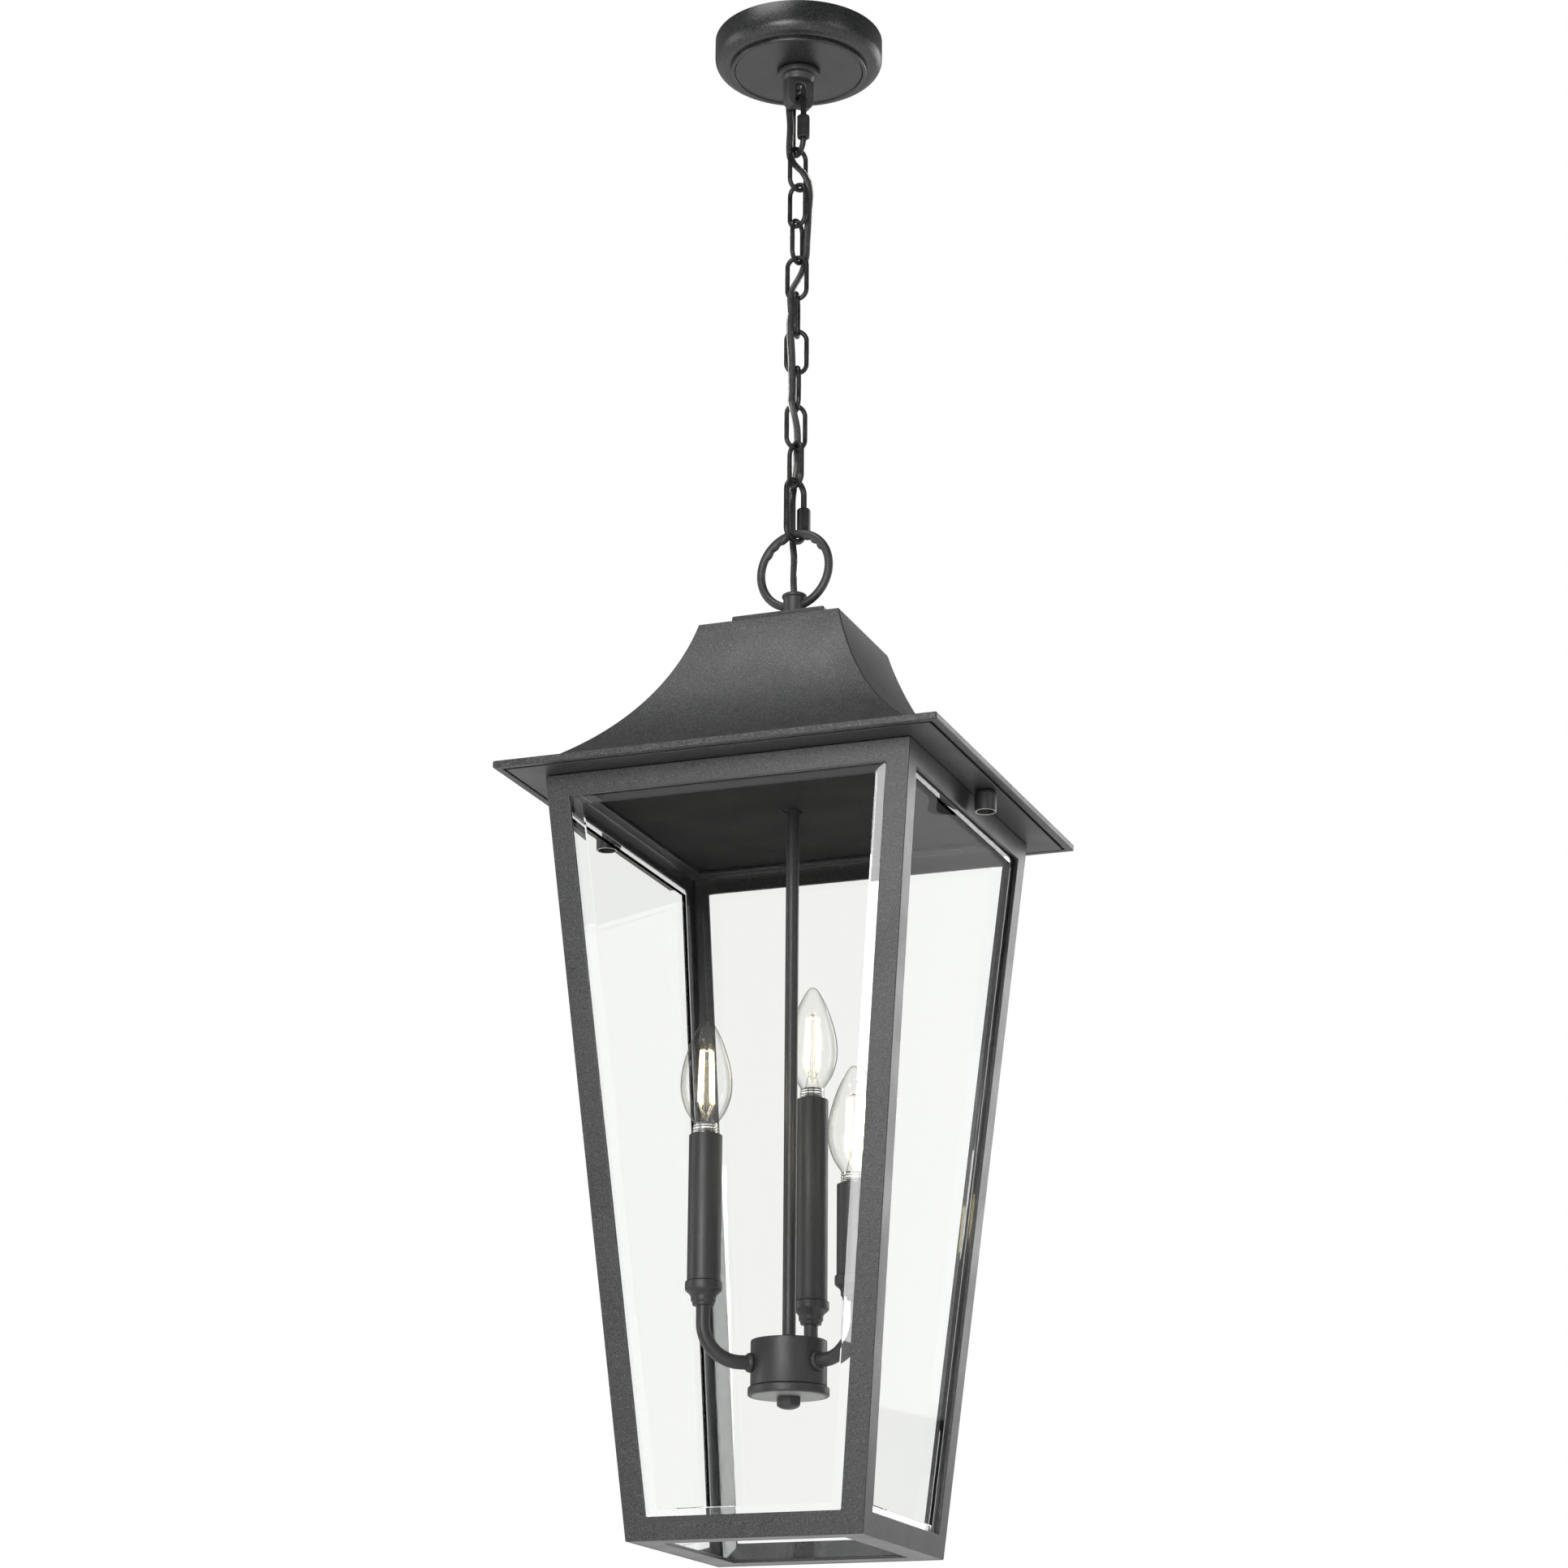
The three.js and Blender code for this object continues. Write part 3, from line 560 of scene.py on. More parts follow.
def hanging_ring():
    """A ring with three soft knuckles inside each shoulder, on a round boss."""
    low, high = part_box("hanging_ring")
    centre = high.z - RING_WIRE / 2 - RING_RADIUS
    side = plan(RING_ANGLE)
    bm = bmesh.new()
    steps, sides = 168, 24
    rings = []
    for i in range(steps):
        a = 2 * math.pi * i / steps
        outward = side * math.sin(a) + Vector((0, 0, math.cos(a)))
        from_top = abs(math.degrees(a) if a < math.pi else 360 - math.degrees(a))
        bump = 0.0
        if 14 < from_top < 62:
            bump = 0.0013 * abs(math.sin(math.pi * (from_top - 14) / 16))
        ring = []
        for j in range(sides):
            b = 2 * math.pi * j / sides
            radial, sideways = RING_WIRE / 2 * math.cos(b), RING_WIRE / 2 * math.sin(b)
            if radial < 0:
                radial -= bump * (-radial / (RING_WIRE / 2)) ** 2
            ring.append(bm.verts.new(
                Vector((0, 0, centre)) + outward * (RING_RADIUS + radial) + plan(RING_ANGLE + 90) * sideways))
        rings.append(ring)
    for lower, upper in zip(rings, rings[1:] + rings[:1]):
        bridge(bm, lower, upper)
    make_piece("ring", bm, COAT_SMOOTH, "lantern", ["hanging_ring"])
    bottom, boss_height = low.z, 0.0241
    top = bottom + boss_height
    bm = bmesh.new()
    lathe(bm, [(0, bottom), *rounded([
        (0.0072, bottom), (0.0080, bottom + 0.0008), (0.0080, top - 0.0036), (0.0089, top - 0.0030),
        (0.0089, top - 0.0012), (0.0068, top), (0.0034, top), (0.0031, top - 0.004)], 0.0006),
        (0, top - 0.004)], 64)
    make_piece("ring_boss", bm, COAT_SMOOTH, "lantern")


COVE_RADIUS, COVE_OUT, COVE_UP = 0.2076, 0.2525, 0.1798
PLATE_HALF, PLATE_EDGE, PLATE_LIP, PLATE_RECESS = 0.1569, 0.005, 0.0054, 0.0022


def cove_half(z):
    return COVE_OUT - math.sqrt(COVE_RADIUS ** 2 - (COVE_UP - (z - CAGE_TOP)) ** 2)


def roof():
    plate_bottom = CAGE_TOP + 0.0004
    plate_top = plate_bottom + PLATE_EDGE
    steps = 40
    cove = [plate_top + (ROOF_TOP - plate_top) * i / steps for i in range(steps + 1)]
    bm = bmesh.new()
    square_lathe(bm, [
        (0.006, plate_bottom + PLATE_RECESS), (PLATE_HALF - PLATE_LIP, plate_bottom + PLATE_RECESS),
        (PLATE_HALF - PLATE_LIP, plate_bottom), (PLATE_HALF, plate_bottom), (PLATE_HALF, plate_top),
        *[(cove_half(z), z) for z in cove], (0.006, ROOF_TOP),
    ], closed=True)
    make_piece("roof", bm, COAT_ROOF, "lantern", ["roof_shell"],
               bevel=0.0011, bevel_steps=3)
    low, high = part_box("roof_cap_plate")
    bm = bmesh.new()
    square_lathe(bm, [(0.006, low.z), (high.x, low.z), (high.x, high.z), (0.006, high.z)], closed=True)
    make_piece("roof_cap", bm, COAT, "lantern", ["roof_cap_plate"],
               bevel=0.0013, bevel_steps=4)
    low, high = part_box("soffit_panel")
    bm = bmesh.new()
    square_lathe(bm, [(0.006, low.z), (high.x, low.z), (high.x, high.z), (0.006, high.z)], closed=True)
    make_piece("soffit", bm, COAT_SMOOTH, "lantern", ["soffit_panel"], bevel=0.0005)
    # painted shade: a thin near-black, dull sheet over the soffit inside the cage, where the cage's ceiling
    # lies in shade
    inside = CAGE_TOP_HALF - TOP_FLANGE  # the dark panel seen as the cage's ceiling
    bm = bmesh.new()
    square_lathe(bm, [(0.006, low.z - 0.0002), (inside, low.z - 0.0002),
                      (inside, low.z + 0.0002), (0.006, low.z + 0.0002)], closed=True)
    make_piece("ceiling_shade_sheet", bm, CEILING_SHADE_COAT, "lantern")


def thumb_nut(side):
    low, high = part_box(f"thumb_nut_{side}")
    centre = ((low.x + high.x) / 2, 0)
    radius = (high.x - low.x) / 2
    bm = bmesh.new()
    profile = rounded([
        (radius - 0.0022, low.z + 0.009), (radius - 0.0017, low.z), (radius - 0.0003, low.z),
        (radius, high.z - 0.002), (radius - 0.0011, high.z), (0.0003, high.z)], 0.0005)
    lathe(bm, [(0, low.z + 0.009), *profile, (0, high.z)], 48, centre)
    make_piece(f"nut_{side}", bm, COAT_SMOOTH, "lantern", [f"thumb_nut_{side}"])
    # painted highlight: a pale zinc ring round the nut's hollow end stands in for the rim's highlight
    bm = bmesh.new()
    lathe(bm, [(radius - 0.0014, low.z + 0.0004), (radius - 0.0012, low.z - 0.0001),
               (radius - 0.0006, low.z - 0.0001), (radius - 0.0005, low.z + 0.0004)], 48, centre, closed=True)
    make_piece(f"nut_rim_highlight_{side}", bm, ZINC, "lantern")
    bm = bmesh.new()
    lathe(bm, [(0, low.z + 0.0125), (0.0044, low.z + 0.0125), *rounded([
        (0.0044, low.z + 0.009), (0.0044, low.z + 0.0045), (0.0031, low.z + 0.0032)], 0.0004),
        (0, low.z + 0.003)], 32, centre)
    bmesh.ops.bisect_plane(bm, geom=bm.verts[:] + bm.edges[:] + bm.faces[:],
                           plane_co=(0, 0.0005, 0), plane_no=(0, 1, 0))
    bmesh.ops.bisect_plane(bm, geom=bm.verts[:] + bm.edges[:] + bm.faces[:],
                           plane_co=(0, -0.0005, 0), plane_no=(0, 1, 0))
    for vertex in bm.verts:
        if abs(vertex.co.y) < 0.00045 and vertex.co.z < low.z + 0.0044:
            vertex.co.z += 0.0012
    make_piece(f"nut_screw_{side}", bm, ZINC, "lantern")


# ------------------------------------------------------------------ tapered cage


def cage_half(z):
    widening = CAGE_TOP_HALF - CAGE_BOTTOM_HALF
    return CAGE_BOTTOM_HALF + (z - CAGE_BOTTOM) * widening / (CAGE_TOP - CAGE_BOTTOM)


def side_point(x, z, inset):
    """A point on the front side, inset from the outer face."""
    return Vector((x, -cage_half(z) + inset, z))


def cage_frame():
    """One welded frame: four mitred sides with a window each, and a flange inside at the top and bottom."""
    window_top, window_bottom = CAGE_TOP - RAIL_HEIGHT, CAGE_BOTTOM + RAIL_HEIGHT
    bm = bmesh.new()
    for quarter in range(4):
        spin = Matrix.Rotation(math.pi / 2 * quarter, 3, "Z")

        def corners(inset):
            outer = [(s * (cage_half(z) - inset), z) for s, z in
                     ((-1, CAGE_BOTTOM), (1, CAGE_BOTTOM), (1, CAGE_TOP), (-1, CAGE_TOP))]
            window = [(s * (cage_half(z) - FRAME_FACE), z) for s, z in
                      ((-1, window_bottom), (1, window_bottom), (1, window_top), (-1, window_top))]
            return [[bm.verts.new(spin @ side_point(x, z, inset)) for x, z in ring]
                    for ring in (outer, window)]

        outer, window = corners(0.0)
        outer_back, window_back = corners(FRAME_SHEET)
        bridge(bm, outer, window)
        bridge(bm, window, window_back)
        bridge(bm, window_back, outer_back)
        for a, b in ((0, 1), (2, 3)):
            bm.faces.new((outer[a], outer[b], outer_back[b], outer_back[a]))
    bmesh.ops.remove_doubles(bm, verts=bm.verts, dist=1e-6)
    members = ["top_frame", "bottom_frame"]
    members += [f"corner_post_{corner}"
                for corner in ("front_left", "front_right", "back_right", "back_left")]
    make_piece("cage", bm, COAT, "lantern", members, bevel=0.0007, bevel_steps=2)
    bm = bmesh.new()
    level = CAGE_TOP - FRAME_SHEET
    square_lathe(bm, [(CAGE_TOP_HALF - TOP_FLANGE, level), (cage_half(level) - FRAME_SHEET + 0.0002, level),
                      (CAGE_TOP_HALF - FRAME_SHEET, CAGE_TOP - 0.0002),
                      (CAGE_TOP_HALF - TOP_FLANGE, CAGE_TOP - 0.0002)], closed=True)
    make_piece("cage_top_flange", bm, COAT, "lantern", bevel=0.0004)
    bm = bmesh.new()
    level = CAGE_BOTTOM + FRAME_SHEET
    square_lathe(bm, [(BOTTOM_OPENING_HALF, CAGE_BOTTOM + 0.0002),
                      (CAGE_BOTTOM_HALF - FRAME_SHEET + 0.0006, CAGE_BOTTOM + 0.0002),
                      (cage_half(level) - FRAME_SHEET + 0.0006, level),
                      (BOTTOM_OPENING_HALF, level)], closed=True)
    make_piece("cage_bottom_flange", bm, COAT, "lantern", bevel=0.0006)


def pane(side, quarter):
    low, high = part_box(f"glass_{side}")
    top, bottom = high.z, low.z
    outer_inset = FRAME_SHEET + 0.0003
    margin = outer_inset + PANE_THICKNESS + 0.0004
    spin = Matrix.Rotation(math.pi / 2 * quarter, 3, "Z")
    bm = bmesh.new()

    def outline(shrink, inset):
        rows = ((-1, bottom + shrink), (1, bottom + shrink), (1, top - shrink), (-1, top - shrink))
        return [bm.verts.new(spin @ side_point(s * (cage_half(z) - margin - shrink), z, inset))
                for s, z in rows]

    inner_inset = outer_inset + PANE_THICKNESS
    front_edge, front = outline(0.0, outer_inset + 0.0014), outline(PANE_BEVEL, outer_inset)
    back_edge, back = outline(0.0, inner_inset), outline(PANE_BEVEL, inner_inset)
    bm.faces.new(front)
    bm.faces.new(back)
    border = len(bm.faces)
    for a, b in ((front, front_edge), (front_edge, back_edge), (back_edge, back)):
        bridge(bm, a, b)
    bm.faces.ensure_lookup_table()
    for index in range(border, len(bm.faces)):
        bm.faces[index].material_index = 1
    make_piece(f"pane_{side}", bm, [PANE, PANE_EDGE], "lantern", [f"glass_{side}"], sharp=2)


# ------------------------------------------------------------------ stem, hub and candles


def stem_and_hub():
    low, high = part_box("stem_tube")
    bm = bmesh.new()
    lathe(bm, [(high.x, low.z), (high.x, high.z), (0.0031, high.z), (0.0031, low.z)], 40, closed=True)
    make_piece("stem", bm, COAT_SMOOTH, "lantern", ["stem_tube"])
    bottom = HUB_TOP - HUB_HEIGHT
    bm = bmesh.new()
    lathe(bm, [(0, HUB_TOP), *rounded([
        (0.004, HUB_TOP), (HUB_RADIUS, HUB_TOP), (HUB_RADIUS, bottom), (HUB_RADIUS - 0.0014, bottom),
        (HUB_RADIUS - 0.0014, HUB_TOP - 0.0014), (0.004, HUB_TOP - 0.0014)], 0.0009),
        (0, HUB_TOP - 0.0014)], 96)
    make_piece("hub", bm, COAT_SMOOTH, "lantern", ["hub_body"])
    bm = bmesh.new()
    lathe(bm, rounded([(0, HUB_TOP + 0.0002), (0.0072, HUB_TOP + 0.0002), (0.0072, HUB_TOP + 0.0028),
                       (0.0046, HUB_TOP + 0.0036), (0, HUB_TOP + 0.0036)], 0.0005), 48)
    make_piece("hub_seat", bm, COAT_SMOOTH, "lantern")
    low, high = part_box("hub_cover")
    bm = bmesh.new()
    lathe(bm, [(0, high.z), *rounded([
        (0.004, high.z), (HUB_COVER_RADIUS, high.z), (HUB_COVER_RADIUS, low.z + 0.0002),
        (HUB_COVER_RADIUS - 0.0022, low.z)], 0.0014, 5)], 96)
    bmesh.ops.contextual_create(bm, geom=[e for e in bm.edges if e.is_boundary])
    make_piece("hub_band", bm, COAT_SMOOTH, "lantern", ["hub_cover"])
    bm = bmesh.new()
    lathe(bm, rounded([(0, low.z + 0.0004), (HUB_COVER_RADIUS - 0.0026, low.z + 0.0004),
                       (HUB_COVER_RADIUS - 0.0026, low.z - 0.0001), (0, low.z - 0.0001)], 0.0002), 96)
    make_piece("hub_underside", bm, COVER, "lantern")
    low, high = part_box("hub_finial")
    bm = bmesh.new()
    across = (high.y - low.y) / 2
    side_count = 48
    rings = []
    for z, limit in ((high.z, 0.0086), (low.z + 0.0030, 0.0086), (low.z + 0.0026, 0.0080),
                     (low.z + 0.0020, 0.0072), (low.z + 0.0010, 0.0056), (low.z + 0.0003, 0.0034),
                     (low.z, 0.0012)):
        ring = []
        for i in range(side_count):
            a = 2 * math.pi * i / side_count
            flat = across / math.cos(a % (math.pi / 3) - math.pi / 6)
            radius = min(flat, limit)
            ring.append(bm.verts.new((radius * math.cos(a), radius * math.sin(a), z)))
        rings.append(ring)
    for lower, upper in zip(rings, rings[1:]):
        bridge(bm, lower, upper)
    bm.faces.new(rings[0])
    bm.faces.new(rings[-1])
    make_piece("finial", bm, COAT_SMOOTH, "lantern", ["hub_finial"], sharp=24)


def arm(number, direction):
    start = HUB_RADIUS + 0.0001
    path = [direction * (start + (ARM_REACH - ARM_BEND - start) * i / 4) + Vector((0, 0, ARM_LEVEL))
            for i in range(4)]
    for x, z in arc((ARM_REACH - ARM_BEND, ARM_LEVEL + ARM_BEND), ARM_BEND, -90, 0, 20):
        path.append(direction * x + Vector((0, 0, z)))
    path.append(direction * ARM_REACH + Vector((0, 0, CUP_BOTTOM + 0.0006)))
    bm = bmesh.new()
    sweep(bm, path, circle(ARM_RADIUS, 28), side=direction.cross(Vector((0, 0, 1))))
    make_piece(f"arm_tube_{number}", bm, COAT_SMOOTH, "lantern", [f"arm_{number}"])
    bm = bmesh.new()
    profile = rounded([(0.0046, 0), (0.0066, 0.0001), (0.0066, 0.0016), (0.0060, 0.0034),
                       (0.0046, 0.0036)], 0.0006)
    lathe(bm, [(0, 0), *profile, (0, 0.0036)], 40)
    lean = direction.to_track_quat("Z", "Y").to_matrix()
    bmesh.ops.transform(bm, verts=bm.verts, matrix=Matrix.Translation(
        direction * HUB_RADIUS + Vector((0, 0, ARM_LEVEL))) @ lean.to_4x4())
    make_piece(f"arm_collar_{number}", bm, COAT_SMOOTH, "lantern")


def candle(number, direction, length):
    centre = (direction * ARM_REACH).to_2d()
    top = CUP_TOP + length
    bm = bmesh.new()
    lathe(bm, [(0, CUP_BOTTOM), *rounded([
        (0.0050, CUP_BOTTOM), (0.0073, CUP_BOTTOM), (0.0073, CUP_BOTTOM + 0.0022),
        (0.0084, CUP_BOTTOM + 0.0030), (0.0084, CUP_BOTTOM + 0.0062),
        (0.0095, CUP_BOTTOM + 0.0078), (0.0124, CUP_BOTTOM + 0.0102),
        (0.0124, CUP_TOP), (0.0112, CUP_TOP)], 0.0009), (0, CUP_TOP - 0.0002)], 56, centre)
    make_piece(f"cup_{number}", bm, COAT_SMOOTH, "lantern", [f"candle_cup_{number}"])
    bm = bmesh.new()
    lathe(bm, rounded([(0.0096, CUP_TOP + 0.0003), (0.0112, CUP_TOP + 0.0003), (0.0112, top),
                       (0.0096, top), (0.0096, CUP_TOP + 0.0003)], 0.0005)[:-1], 56, centre, closed=True)
    make_piece(f"sleeve_{number}", bm, COAT_SMOOTH, "lantern",
               [f"candle_sleeve_{number}"])
    bm = bmesh.new()
    lathe(bm, rounded([(0, top - 0.0303), (0.0086, top - 0.0303), (0.0086, top - 0.0008),
                       (0, top - 0.0008)], 0.0008), 40, centre)
    make_piece(f"holder_{number}", bm, CERAMIC, "lantern", [f"lampholder_{number}"])
    bulb(number, centre, top)


def bulb(number, centre, bottom):
    glass_bottom = bottom + BULB_BASE_HEIGHT
    tip = glass_bottom + BULB_GLASS_HEIGHT
    bm = bmesh.new()
    threads = [(0.0084 + 0.0003 * math.cos(2 * math.pi * i / 4), bottom + 0.0006 + 0.0005 * i)
               for i in range(12)]
    lathe(bm, [(0, bottom), (0.0080, bottom), *threads, (0.0080, glass_bottom), (0, glass_bottom)],
          48, centre)
    make_piece(f"bulb_cap_{number}", bm, NICKEL, "lantern")
    # the glass's radius and its height over the cap, in millimetres
    outline = [(8.2, 0), (8.6, 1.5), (10.6, 4.5), (13.4, 9), (15.9, 15.5), (17.25, 22), (17.5, 28),
               (17.0, 35), (15.6, 42), (13.6, 49), (11.2, 56), (8.6, 62), (6.0, 67), (3.5, 70.9), (1.7, 72.5)]
    rows = smooth_line([Vector((r, h, 0)) for r, h in outline], 3)
    outer = [(p.x * MM, glass_bottom + p.y * MM) for p in rows]
    bm = bmesh.new()
    lathe(bm, [(0, glass_bottom), *outer, (0, tip)], 64, centre)
    make_piece(f"bulb_glass_{number}", bm, BULB, "lantern", [f"bulb_{number}"], sharp=60)
    bm = bmesh.new()
    stem = [(0, glass_bottom + 0.0002), (0.0052, glass_bottom + 0.0002), (0.0040, glass_bottom + 0.006),
            (0.0022, glass_bottom + 0.014), (0.0017, glass_bottom + 0.026), (0.0014, glass_bottom + 0.050),
            (0.0022, glass_bottom + 0.0525), (0, glass_bottom + 0.054)]
    lathe(bm, stem, 24, centre)
    make_piece(f"bulb_stem_{number}", bm, BULB, "lantern")
    filaments(number, Vector((centre[0], centre[1], tip)))


def filaments(number, tip):
    low, high, spread = 0.058, 0.023, 0.0052
    hot, warm, wires = bmesh.new(), bmesh.new(), bmesh.new()
    for i in range(4):
        direction = plan(45 + 90 * i + 12 * number)
        foot = tip + direction * (spread + 0.0006) - Vector((0, 0, low))
        head = tip + direction * (spread - 0.0008) - Vector((0, 0, high))
        rod = [foot.lerp(head, t / 6) for t in range(7)]
        sweep(hot, rod, circle(0.0011, 12))
        for end, inward in ((foot, 1), (head, -1)):
            step = (head - foot).normalized() * 0.0026 * inward
            sweep(warm, [end - step * 0.15, end + step * 0.4, end + step], circle(0.00105, 12))
        for wire in ((tip - Vector((0, 0, low + 0.008)) + direction * 0.001,
                      foot - Vector((0, 0, 0.003)), foot),
                     (head, head + Vector((0, 0, 0.0016)) - direction * 0.001,
                      tip - Vector((0, 0, high - 0.0005)))):
            sweep(wires, wire, circle(0.0003, 8))
    make_piece(f"filament_{number}", hot, HOT, "lantern")
    make_piece(f"filament_ends_{number}", warm, WARM, "lantern")
    make_piece(f"filament_wires_{number}", wires, NICKEL, "lantern")


# ------------------------------------------------------------------ lamp cord


def smooth_line(points, steps):
    """A centripetal Catmull-Rom curve through the points."""
    points = [2 * points[0] - points[1], *points, 2 * points[-1] - points[-2]]
    line = []
    for p0, p1, p2, p3 in zip(points, points[1:], points[2:], points[3:]):
        d1, d2, d3 = (max((b - a).length, 1e-9) ** 0.5 for a, b in ((p0, p1), (p1, p2), (p2, p3)))
        m1 = (p2 - p1) + d2 * ((p1 - p0) / d1 - (p2 - p0) / (d1 + d2))
        m2 = (p2 - p1) + d2 * ((p3 - p2) / d3 - (p3 - p1) / (d2 + d3))
        for i in range(steps):
            t = i / steps
            line.append((2 * t ** 3 - 3 * t ** 2 + 1) * p1 + (t ** 3 - 2 * t ** 2 + t) * m1
                        + (-2 * t ** 3 + 3 * t ** 2) * p2 + (t ** 3 - t ** 2) * m2)
    line.append(points[-2])
    return line


# The cord's route: across the chain, towards the room, and height, in millimetres.
CORD_FACING = 20.7
CORD_ROUTE = (
    (0, 0, -34.4), (-0.8, -1.6, -38.2), (-2.6, -4.8, -40.2), (-5.6, -6.6, -43.4), (-6.9, -5.2, -49),
    (-5.9, -3.2, -68), (-6.4, -2.4, -88), (-5.6, -2.2, -95), (-2.6, -1.8, -100.4), (0.6, -0.4, -104.6),
    (3.8, 1.4, -109), (7.2, 1.4, -116.5), (8.6, 0.5, -126), (7.8, -0.5, -140), (7, -1.6, -160),
    (6.2, -2.4, -175), (4, -1.2, -186.5), (0.4, 0.9, -195.4), (-2.8, 3.2, -202.6), (-4.6, 4, -210),
    (-4.2, 4.3, -222), (-4.3, 4.9, -235), (-3.1, 4.9, -258), (-2.6, 5.1, -284), (-3, 5.7, -295),
    (-1, 3.6, -303.5), (0.8, 0.2, -311), (1.4, -3.4, -319), (1.1, -5.9, -326.5), (1.1, -5.4, -337),
    (-0.2, -6.8, -348), (-1.3, -7.6, -357), (-2, -5.4, -365), (-2, -4.6, -374), (-2, -5.1, -383),
    (-1.9, -6.7, -392), (-1.3, -6.1, -401), (-0.6, -3, -410), (-0.8, -0.3, -430), (0, 0, -443.4),
)
# Height, and how far the bare ground wire lies to the right of the cord there, in millimetres.
GROUND_SIDE = ((-40, 2.4), (-110, 2.7), (-180, 2.8), (-205, 1.8), (-232, -2.9), (-262, -2.9), (-300, -2.4),
               (-350, -2.4), (-392, -2.4), (-402, -1.0), (-414, 2.2), (-430, 1.6), (-438, 0.9))
GROUND_RADIUS = 0.0004
CORE_RADIUS, CORE_OFFSET = 0.00120, 0.00115  # the cord is a flat pair of round cores


def between(table, z):
    """Reads a (height, value) table, eased between its rows."""
    for (z0, a), (z1, b) in zip(table, table[1:]):
        if z1 <= z <= z0:
            t = (z0 - z) / (z0 - z1)
            return a + (b - a) * t * t * (3 - 2 * t)
    return table[0][1] if z > table[0][0] else table[-1][1]


def cord():
    across, towards = plan(CORD_FACING), plan(CORD_FACING - 90)
    route = [(across * u + towards * v) * MM + Vector((0, 0, z * MM)) for u, v, z in CORD_ROUTE]
    line = smooth_line(route, 8)
    chain_bodies = ["canopy", "top_quick_link", *[f"chain_link_{i + 1}" for i in range(LINKS)],
                    "bottom_quick_link", "lantern"]
    mids = [line[0].z]
    for body in chain_bodies[1:-1]:
        low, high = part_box(body)
        mids.append((low.z + high.z) / 2)
    mids.append(line[-1].z)
    twin = []
    for lobe in (1, -1):
        twin += [(lobe * CORE_OFFSET + CORE_RADIUS * math.cos(a), CORE_RADIUS * math.sin(a))
                 for a in (math.radians(-80 + 160 * i / 8 + (0 if lobe > 0 else 180)) for i in range(9))]
    ground = [p + across * between(GROUND_SIDE, p.z / MM) * MM + towards * 0.0006 for p in line]
    for index, (a, b) in enumerate(zip(chain_bodies, chain_bodies[1:])):
        first = min(range(len(line)), key=lambda i: abs(line[i].z - mids[index]))
        last = min(range(len(line)), key=lambda i: abs(line[i].z - mids[index + 1]))
        for name, points, section, material, slot in (
                ("cord", line, twin, CORD, "black_cord"),
                ("ground_wire", ground, circle(GROUND_RADIUS, 8), GROUND_WIRE, None)):
            bm = bmesh.new()
            directions = tangents(points, False)
            rings = []
            for i in range(first, last + 1):
                x = (across - directions[i] * across.dot(directions[i])).normalized()
                y = directions[i].cross(x)
                rings.append([bm.verts.new(points[i] + x * px + y * py) for px, py in section])
            for lower, upper in zip(rings, rings[1:]):
                bridge(bm, lower, upper)
            bm.faces.new(rings[0])
            bm.faces.new(rings[-1])
            piece = make_piece(f"{name}_{index + 1}", bm, material, None)
            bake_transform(piece)
            if name == "cord" and index == 0:
                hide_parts("lamp_cord")


# ------------------------------------------------------------------ the rest of the frame


def dress_cad_nodes():
    """The pieces that stay as the CAD has them: fittings hidden inside the canopy and roof."""
    for name in ("mounting_crossbar", "threaded_nipple", "nipple_locknut", "stem_locknut"):
        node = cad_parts[name]
        node.data.materials.clear()
        node.data.materials.append(ZINC)


# ------------------------------------------------------------------ camera, light and floor


def area_light(name, place, aim, size, power, colour=(1, 1, 1)):
    light = bpy.data.lights.new(name, "AREA")
    light.shape = "RECTANGLE"
    light.size, light.size_y = size
    light.energy = power
    light.color = colour
    obj = bpy.data.objects.new(name, light)
    obj.location = place
    obj.rotation_euler = (Vector(aim) - Vector(place)).to_track_quat("-Z", "Y").to_euler()
    bpy.context.scene.collection.objects.link(obj)


CAMERA_PLACE = (0.8619, -2.2959, -1.3687)
CAMERA_TURN = (-20.726, 17.830, 0.481)  # yaw, pitch and roll in degrees
FLOOR_LEVEL, FLOOR_HALF = -1.75, 40


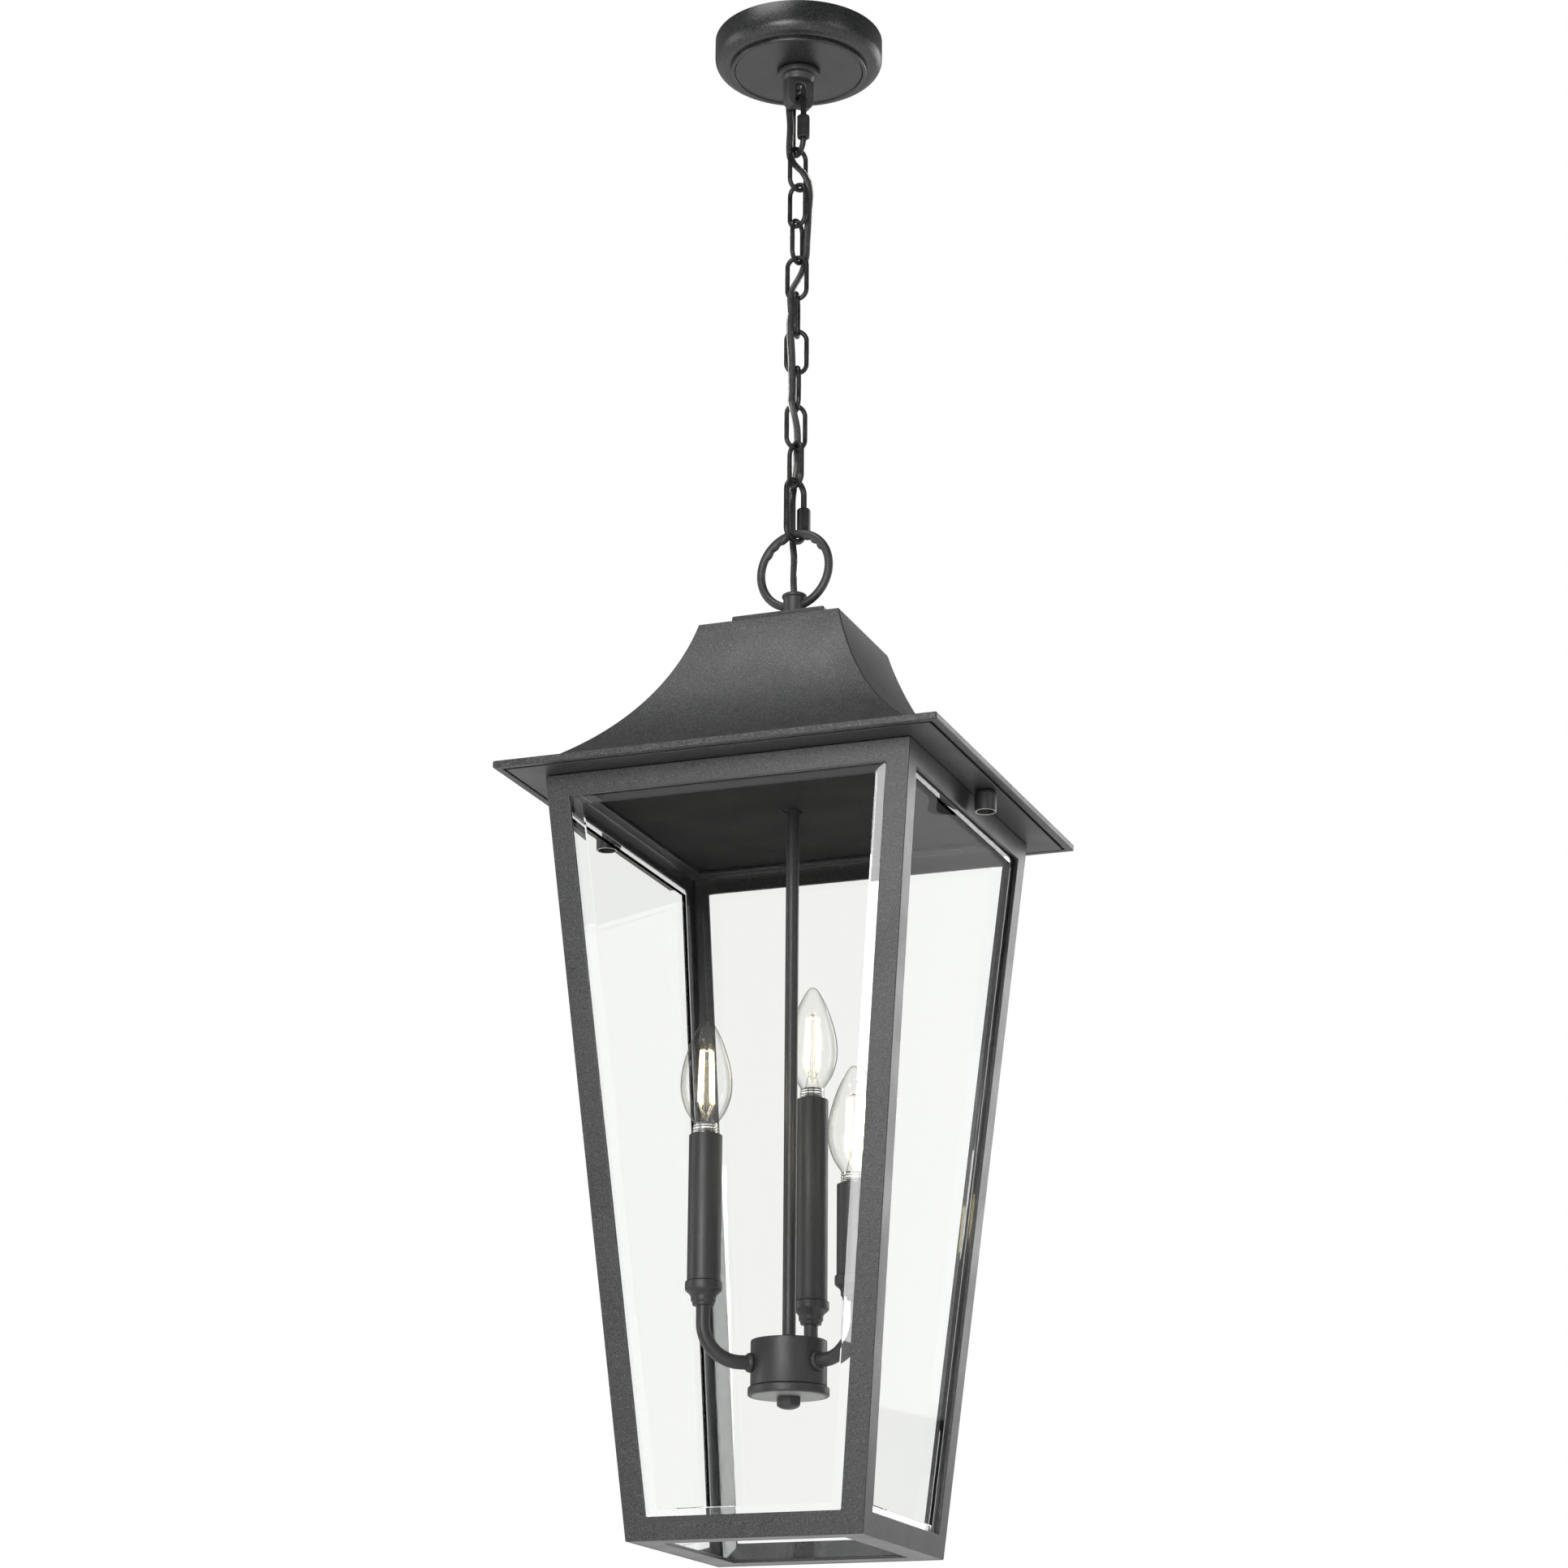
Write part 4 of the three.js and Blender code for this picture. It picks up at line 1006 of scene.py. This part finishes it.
def studio():
    """The photo's camera, five soft lights, a white backdrop in a dim room, and a pale floor."""
    scene = bpy.context.scene
    scene.view_settings.view_transform = "Standard"
    data = bpy.data.cameras.new("camera")
    data.lens, data.sensor_width = 85.0, 36.0
    camera = bpy.data.objects.new("camera", data)
    yaw, pitch, roll = (math.radians(a) for a in CAMERA_TURN)
    forward = Vector((math.sin(yaw) * math.cos(pitch), math.cos(yaw) * math.cos(pitch), math.sin(pitch)))
    right = Vector((math.cos(yaw), -math.sin(yaw), 0))
    up = right.cross(forward)
    x = right * math.cos(roll) + up * math.sin(roll)
    y = up * math.cos(roll) - right * math.sin(roll)
    facing = Matrix((x, y, -forward)).transposed().to_4x4()
    camera.matrix_world = Matrix.Translation(CAMERA_PLACE) @ facing
    scene.collection.objects.link(camera)
    scene.camera = camera

    area_light("front", (0.0, -2.7, -0.35), (0, 0, -0.65), (1.1, 1.5), 54)
    area_light("overhead", (-0.5, -1.0, 1.6), (0, 0, -0.5), (1.2, 1.2), 24)
    area_light("left", (-2.6, -0.8, -0.3), (0, 0, -0.6), (0.8, 2.2), 16)
    area_light("back_right", (1.3, 2.6, 0.1), (0, 0, -0.6), (1.2, 1.8), 24)
    area_light("right", (2.6, -1.0, 0.3), (0, 0, -0.5), (0.7, 1.6), 10)

    # reflections see a room that is paler low down; the camera and rays through glass see white
    world = bpy.data.worlds.new("world")
    world.use_nodes = True
    nodes, links = world.node_tree.nodes, world.node_tree.links
    coordinate = nodes.new("ShaderNodeTexCoord")
    split = nodes.new("ShaderNodeSeparateXYZ")
    ramp = nodes.new("ShaderNodeValToRGB")
    for element, (position, level) in zip(ramp.color_ramp.elements, ((0.05, 0.45), (0.6, 0.14))):
        element.position = position
        element.color = (level, level, level, 1)
    links.new(coordinate.outputs["Generated"], split.inputs[0])
    links.new(split.outputs["Z"], ramp.inputs["Fac"])
    room = nodes["Background"]
    links.new(ramp.outputs["Color"], room.inputs["Color"])
    backdrop = nodes.new("ShaderNodeBackground")
    backdrop.inputs["Color"].default_value = (1, 1, 1, 1)
    rays = nodes.new("ShaderNodeLightPath")
    seen = nodes.new("ShaderNodeMath")
    seen.operation = "MAXIMUM"
    links.new(rays.outputs["Is Camera Ray"], seen.inputs[0])
    links.new(rays.outputs["Is Transmission Ray"], seen.inputs[1])
    mix = nodes.new("ShaderNodeMixShader")
    links.new(seen.outputs[0], mix.inputs[0])
    links.new(room.outputs[0], mix.inputs[1])
    links.new(backdrop.outputs[0], mix.inputs[2])
    links.new(mix.outputs[0], nodes["World Output"].inputs["Surface"])
    scene.world = world

    bm = bmesh.new()
    bmesh.ops.create_grid(bm, x_segments=4, y_segments=4, size=FLOOR_HALF)
    mesh = bpy.data.meshes.new("floor")
    bm.to_mesh(mesh)
    bm.free()
    floor = bpy.data.objects.new("floor", mesh)
    floor.location.z = FLOOR_LEVEL
    n = Nodes("floor")
    n.set(
        Base_Color=n.ramp(n.noise(3, 2), (0.3, (0.78, 0.78, 0.77)), (0.7, (0.82, 0.82, 0.81))),
        Roughness=0.8, Emission_Color=(1, 1, 1, 1), Emission_Strength=0.6,
    )
    mesh.materials.append(n.material)
    scene.collection.objects.link(floor)


canopy()
collar()
collar_loop()
chain()
hanging_ring()
roof()
thumb_nut("left")
thumb_nut("right")
cage_frame()
for quarter, side in enumerate(("front", "right", "back", "left")):
    pane(side, quarter)
stem_and_hub()
for number, (angle, length) in enumerate(CANDLES, 1):
    arm(number, plan(angle))
    candle(number, plan(angle), length)
cord()
dress_cad_nodes()
studio()
